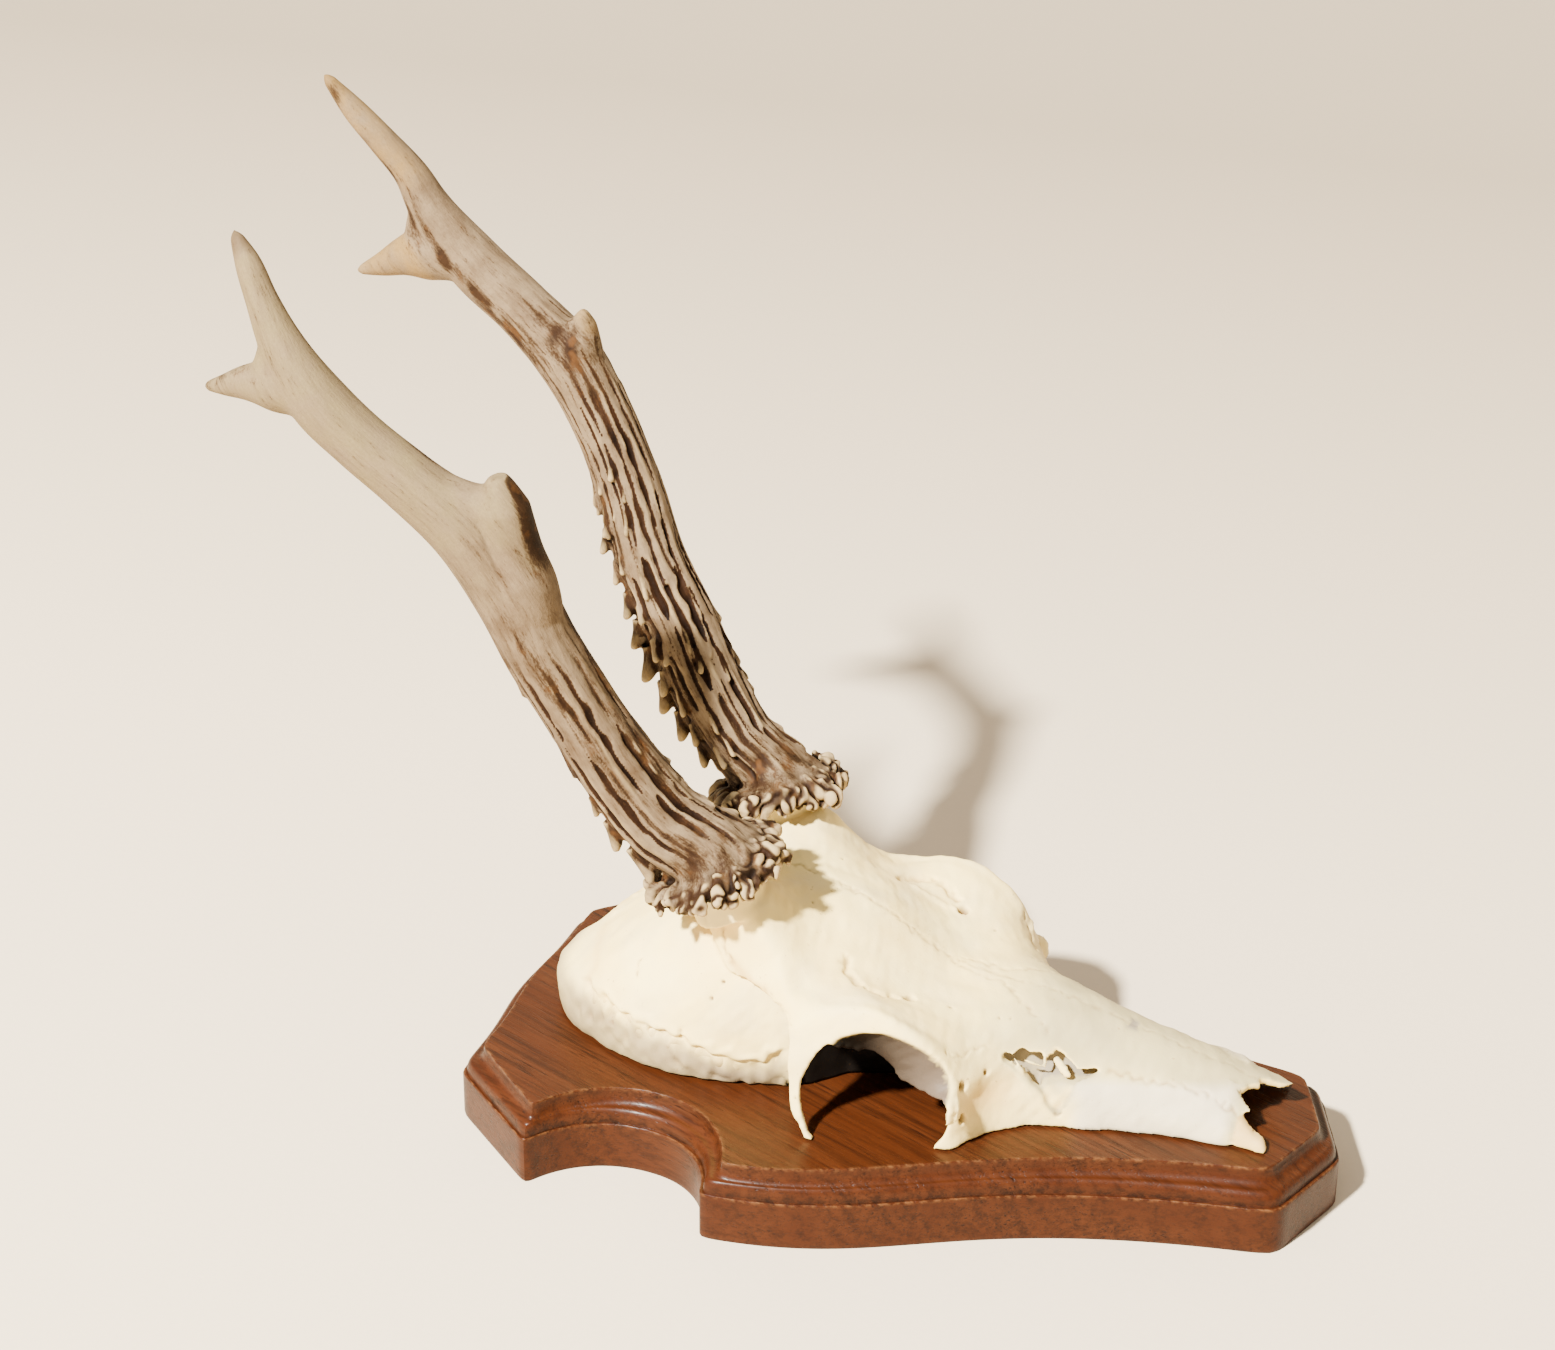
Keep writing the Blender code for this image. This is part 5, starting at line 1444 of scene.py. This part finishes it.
def antler_regions(form, at, angle, points, normals):
    """Where the antler is smooth ivory, and where it is stained dark or, on one knob, darkened as painted
    shade.
    """
    degrees = np.degrees(angle) % 360
    wave = ripple(points, 14.0, form["seed"] + 60) * 7.0
    place = np.stack([at * 0.25, *(points.T[:2])], 1)
    blur = 1 + 0.35 * ripple(place, 5.0, form["seed"] + 61)

    def patch(row):
        """A soft spot: a bell curve along the beam times one round it."""
        middle, turn, length, width, strength = row
        around = (degrees - turn + 180) % 360 - 180
        return strength * blur * np.exp(-((at - middle) / length) ** 2 - (around / width) ** 2)

    stain = np.max([patch(row) for row in form["stains"]], axis=0)
    ivory = fade(at + wave, *form["ivory"])
    shade = form["shade"]
    if shade:
        # Painted shade: the knob's side away from the light is darkened along with the stains.
        facing = normals @ np.array(shade["facing"])
        knob_shade = fade(facing, 0.3, 0.78) * fade(points[:, 2], *shade["height"])
        knob_shade = knob_shade * (points[:, 0] > shade["back"])
        stain = np.maximum(stain * (1 - 0.8 * fade(points[:, 2], 150, 160) * (at < 125)), 1.1 * knob_shade)
    return ivory, stain


def antler_bodies(beam, sizes):
    """All closed bodies that an antler is fused from."""
    form, side = beam.form, beam.side
    bodies = [tube_parts(beam_tube(beam, sizes))]
    bodies += [tube_parts(branch_tube(placed(form[part], side), TINE_SWELL[part]))
               for part in ("front", "rear")]
    bodies += [tube_parts(branch_tube(placed(route, side), 0.0)) for route in form["webs"]]
    return bodies + burr_knobs(beam) + drop_pearls(beam, sizes)


def paint_antler(mesh, beam, points, where, crest):
    """Paint what the colours need: channels, relief, regions, and the grain's own coordinates."""
    at, angle, base, out = where
    channel = grooves(beam.form, at, angle, base) * fade(at, 5.0, 11.0)
    ivory, stain = antler_regions(beam.form, at, angle, points, read_normals(mesh))
    fork = fade(out - base, 2.5, 5.0) * (at > 100)
    paint(mesh, "groove", channel * (1 - fork))
    # The relief sets painted shade in hollows and a pale top that is partly painted highlight.
    paint(mesh, "relief", relief(mesh, 14))
    paint(mesh, "broad", relief(mesh, 60))
    # The burr's crests are painted pale, partly as highlight, and its valleys dark as shade.
    paint(mesh, "coral", crest)
    paint(mesh, "ivory", np.maximum(ivory, fork * 0.8))
    paint(mesh, "burr", 1 - fade(at + 2.0 * ripple(points, 6.0, 70), 3.5, 9.0))
    paint(mesh, "tip", fade(at, beam.total - 9.0, beam.total - 3.0))
    paint(mesh, "stain", stain)
    reach = np.maximum(out, 1.0)
    paint_vector(mesh, "grain", np.stack([reach * np.cos(angle), reach * np.sin(angle), at], 1))


def build_antler(form, finish, sizes):
    """Fuse an antler's bodies into one skin, ease its forks, raise the burr's knobs and paint it."""
    beam = Beam(form)
    label = form["label"]
    points, faces = joined(antler_bodies(beam, sizes))
    item = mesh_object(f"{label}_antler", points, faces)
    skin_over(item, sizes.antler_cell)
    mesh = item.data
    ends, degree = edge_ends(mesh)
    write_points(mesh, relaxed(read_points(mesh), ends, degree, 1, 0.4))
    ease_forks(mesh, form["forks"], form["side"], FORK_ROUNDS)
    points, normals = read_points(mesh), read_normals(mesh)
    where = beam.locate(points)
    crest = coral(points, where[0], where[3], form["seed"])
    points = points + normals * (0.8 * crest)[:, None]
    write_points(mesh, points)
    paint_antler(mesh, beam, points, where, crest)
    thin_out(item, MOST_TRIANGLES)
    nodes = [f"{label}_antler_{part}" for part in ("beam", "rear_tine", "top_tine")]
    return finish_piece(item, finish, "antler", *nodes)


# ------------------------------------------------------------------ stage

def build_stage(colours):
    """Pale table top that rises far behind into a plain backdrop, along a quarter circle."""
    turn = np.linspace(0.1, math.pi / 2, 12)
    depth = np.concatenate([np.linspace(TABLE_NEAR, TABLE_FAR, 12), TABLE_FAR + SWEEP * np.sin(turn),
                            np.full(4, TABLE_FAR + SWEEP)])
    rise = np.concatenate([np.zeros(12), SWEEP * (1 - np.cos(turn)),
                           np.linspace(BACKDROP_FOOT, BACKDROP_TOP, 4)])
    across = np.linspace(-TABLE_HALF, TABLE_HALF, 9)
    x, y = np.meshgrid(across, depth)
    z = np.broadcast_to(rise[:, None], x.shape)
    floor = mesh_object("table", np.dstack([x, y, z]).reshape(-1, 3),
                        grid_quads(len(depth), len(across), False).tolist())
    floor.data.materials.append(floor_finish(colours))
    floor.data.shade_smooth()
    return floor


def round_lamp(name, energy, place, aim, size, colour):
    """A round area lamp at a place in metres that looks at another."""
    data = bpy.data.lights.new(name, "AREA")
    data.energy = energy
    data.color = colour
    data.shape = "DISK"
    data.size = size
    lamp = bpy.data.objects.new(name, data)
    bpy.context.scene.collection.objects.link(lamp)
    away = np.array(place, float) - np.array(aim, float)
    away /= np.linalg.norm(away)
    side = np.cross((0.0, 0.0, 1.0), away)
    side /= np.linalg.norm(side)
    frame = Matrix([(*row,) for row in np.column_stack([side, np.cross(away, side), away])])
    lamp.matrix_world = Matrix.Translation(place) @ frame.to_4x4()
    return lamp


def add_camera():
    """Camera at the photograph's place, turned by its azimuth, elevation and a slight roll."""
    azimuth, elevation, roll = (math.radians(value) for value in CAMERA_TURN)
    back = np.array((math.sin(azimuth) * math.cos(elevation), -math.cos(azimuth) * math.cos(elevation),
                     math.sin(elevation)))
    right = np.array((math.cos(azimuth), math.sin(azimuth), 0.0))
    up = np.cross(back, right)
    columns = (math.cos(roll) * right + math.sin(roll) * up,
               -math.sin(roll) * right + math.cos(roll) * up, back)
    data = bpy.data.cameras.new("camera")
    data.lens = CAMERA_LENS
    data.sensor_width = CAMERA_SENSOR
    data.clip_end = 20.0
    camera = bpy.data.objects.new("camera", data)
    bpy.context.scene.collection.objects.link(camera)
    frame = Matrix([(*row,) for row in np.column_stack(columns)])
    camera.matrix_world = Matrix.Translation(CAMERA_PLACE) @ frame.to_4x4()
    bpy.context.scene.camera = camera


def add_light():
    """One firm key from the upper left front, and a pale surrounding that fills the shadows."""
    place = tuple(np.array(KEY_DIRECTION) * KEY_DISTANCE)
    round_lamp("key", KEY_POWER, place, KEY_AIM, KEY_DIAMETER, KEY_COLOUR)
    world = bpy.data.worlds.new("studio")
    world.use_nodes = True
    surround = world.node_tree.nodes["Background"].inputs
    surround["Color"].default_value = (*FILL_COLOUR, 1.0)
    surround["Strength"].default_value = FILL_STRENGTH
    bpy.context.scene.world = world


# ------------------------------------------------------------------ settings and operators

def tint(name, default, description):
    """A colour that the panel lists."""
    return FloatVectorProperty(name=name, default=default, description=description,
                               subtype="COLOR", size=3, min=0.0, max=1.0)


class TrophySizes(bpy.types.PropertyGroup):
    """Sizes of the modelled detail."""
    skull_cell: FloatProperty(name="Skull cell", default=0.55, min=0.4, max=3.0,
                              description="Edge of the skull's small faces, in millimetres")
    antler_cell: FloatProperty(name="Antler cell", default=0.5, min=0.35, max=3.0,
                               description="Edge of the antlers' small faces, in millimetres")
    groove_depth: FloatProperty(name="Channel depth", default=1.0, min=0.0, max=2.0, subtype="FACTOR",
                                description="Depth of the antlers' long channels")
    pearl_size: FloatProperty(name="Pearl size", default=1.0, min=0.2, max=2.0, subtype="FACTOR",
                              description="Size of the pearls on the lower beams")
    seam_depth: FloatProperty(name="Seam depth", default=1.0, min=0.0, max=2.0, subtype="FACTOR",
                              description="Depth of the seams between the skull's bones")


class TrophyColours(bpy.types.PropertyGroup):
    """Colours of the finishes."""
    bone: tint("Bone", (1.0, 0.79, 0.30), "Bleached bone")
    bone_cream: tint("Bone cream", (0.90, 0.66, 0.215), "Warmer patches of the bone")
    # Greyer bone and painted shade on top of the nose.
    bone_nose_grey_and_shade: tint("Bone nose", (0.37, 0.31, 0.165), "Greyer bone on top of the nose")
    # Painted shade of the eye sockets: near black at the back, a dim grey-brown on the front wall.
    socket_shade_dark: tint("Socket dark", (0.004, 0.0028, 0.002), "Back of the eye socket")
    socket_shade_pale: tint("Socket pale", (0.11, 0.08, 0.055), "Front wall of the eye socket")
    bone_cool: tint("Bone cool", (0.62, 0.53, 0.36), "Cooler bone of the upper jaw")
    bone_warm: tint("Bone warm", (0.62, 0.37, 0.10), "Yellowed bone along crests and in hollows")
    # Greyer bone and painted shade low on the braincase.
    bone_low_grey_and_shade: tint("Bone dusk", (0.17, 0.12, 0.08), "Greyer bone low on the braincase")
    bone_stain: tint("Bone stain", (0.30, 0.17, 0.06), "Stain in hollows of the bone")
    # Painted shade inside the nose gap.
    bone_inside_shade: tint("Bone inside", (0.22, 0.185, 0.14), "Bone inside the nose and the sockets")
    seam: tint("Seam", (0.22, 0.11, 0.035), "Seams between bones")
    pit: tint("Pit", (0.09, 0.04, 0.015), "Small holes in the bone")
    antler_cream: tint("Antler cream", (0.200, 0.139, 0.078), "Ridges between the channels")
    antler_tan: tint("Antler tan", (0.10, 0.060, 0.030), "Darker parts of the ridges")
    antler_warm: tint("Antler warm", (0.044, 0.0225, 0.009), "Brown streaks")
    antler_brown: tint("Antler brown", (0.020, 0.0085, 0.0036), "Channels")
    # Near black of the channels, and painted shade in the deepest hollows.
    antler_black_and_shade: tint("Antler black", (0.005, 0.0024, 0.0013), "Deepest hollows")
    antler_orange: tint("Antler orange", (0.085, 0.035, 0.010), "Rusty spots in the stained parts")
    # Rubbed pale tops, partly painted highlight.
    pearl_and_highlight: tint("Pearl", (0.40, 0.285, 0.135), "Rubbed tops of pearls and burr")
    ivory: tint("Ivory", (0.200, 0.147, 0.069), "Smooth upper parts")
    ivory_tan: tint("Ivory tan", (0.250, 0.150, 0.045), "Far antler's smooth tip")
    oak_light: tint("Oak light", (0.052, 0.0142, 0.0040), "Light bands of the stained oak")
    oak_red: tint("Oak red", (0.034, 0.0081, 0.0022), "Red-brown of the stained oak")
    oak_brown: tint("Oak brown", (0.013, 0.0038, 0.0014), "Dark bands")
    # Pores and streaks, and painted shade in the moulding's quirk.
    oak_pores_and_shade: tint("Oak dark", (0.005, 0.002, 0.001), "Pores and streaks")
    oak_worn: tint("Oak worn", (0.12, 0.05, 0.017), "Rubbed edges")
    floor: tint("Table", (0.69, 0.575, 0.41), "Table top")
    floor_far: tint("Far table", (0.37, 0.30, 0.21), "Table and backdrop far behind")


class TrophyOperator:
    """What the operators of this file share."""
    bl_options = {"REGISTER", "UNDO"}

    @staticmethod
    def settings(context):
        """The scene's sizes and colours."""
        return context.scene.trophy_sizes, context.scene.trophy_colours


class TROPHY_OT_shield(TrophyOperator, bpy.types.Operator):
    """Build the moulded oak shield"""
    bl_idname = "trophy.shield"
    bl_label = "Shield"

    def execute(self, context):
        _, colours = self.settings(context)
        build_shield(oak_finish(colours))
        return {"FINISHED"}


class TROPHY_OT_skull(TrophyOperator, bpy.types.Operator):
    """Build the sawn skull with its pedicles"""
    bl_idname = "trophy.skull"
    bl_label = "Skull"

    def execute(self, context):
        sizes, colours = self.settings(context)
        build_skull(bone_finish(colours), sizes)
        return {"FINISHED"}


class TROPHY_OT_antlers(TrophyOperator, bpy.types.Operator):
    """Build both antlers"""
    bl_idname = "trophy.antlers"
    bl_label = "Antlers"

    def execute(self, context):
        sizes, colours = self.settings(context)
        for form, smooth_part in ((RIGHT, colours.ivory), (LEFT, colours.ivory_tan)):
            finish = antler_finish(f"Antler {form['label']}", colours, smooth_part, form["wash"])
            build_antler(form, finish, sizes)
        return {"FINISHED"}


class TROPHY_OT_stage(TrophyOperator, bpy.types.Operator):
    """Lay the pale table, and set the lamps and the camera"""
    bl_idname = "trophy.stage"
    bl_label = "Stage"

    def execute(self, context):
        _, colours = self.settings(context)
        build_stage(colours)
        add_light()
        add_camera()
        return {"FINISHED"}


class TROPHY_PT_panel(bpy.types.Panel):
    """List the trophy's pieces, sizes and colours"""
    bl_label = "Roe Buck Trophy"
    bl_idname = "TROPHY_PT_panel"
    bl_space_type = "VIEW_3D"
    bl_region_type = "UI"
    bl_category = "Trophy"

    def draw(self, context):
        for operator in OPERATORS:
            self.layout.operator(operator.bl_idname)
        for group in (context.scene.trophy_sizes, context.scene.trophy_colours):
            for name in group.__annotations__:
                self.layout.prop(group, name)


OPERATORS = (TROPHY_OT_shield, TROPHY_OT_skull, TROPHY_OT_antlers, TROPHY_OT_stage)
CLASSES = (TrophySizes, TrophyColours) + OPERATORS + (TROPHY_PT_panel,)


def register():
    """Add the classes, and the settings to every scene."""
    for kind in CLASSES:
        bpy.utils.register_class(kind)
    bpy.types.Scene.trophy_sizes = PointerProperty(type=TrophySizes)
    bpy.types.Scene.trophy_colours = PointerProperty(type=TrophyColours)


def unregister():
    """Take the settings and the classes away again."""
    del bpy.types.Scene.trophy_colours
    del bpy.types.Scene.trophy_sizes
    for kind in reversed(CLASSES):
        bpy.utils.unregister_class(kind)


def main():
    """Build every piece and the stage."""
    register()
    bpy.ops.trophy.shield()
    bpy.ops.trophy.skull()
    bpy.ops.trophy.antlers()
    bpy.ops.trophy.stage()


if __name__ == "__main__":
    main()
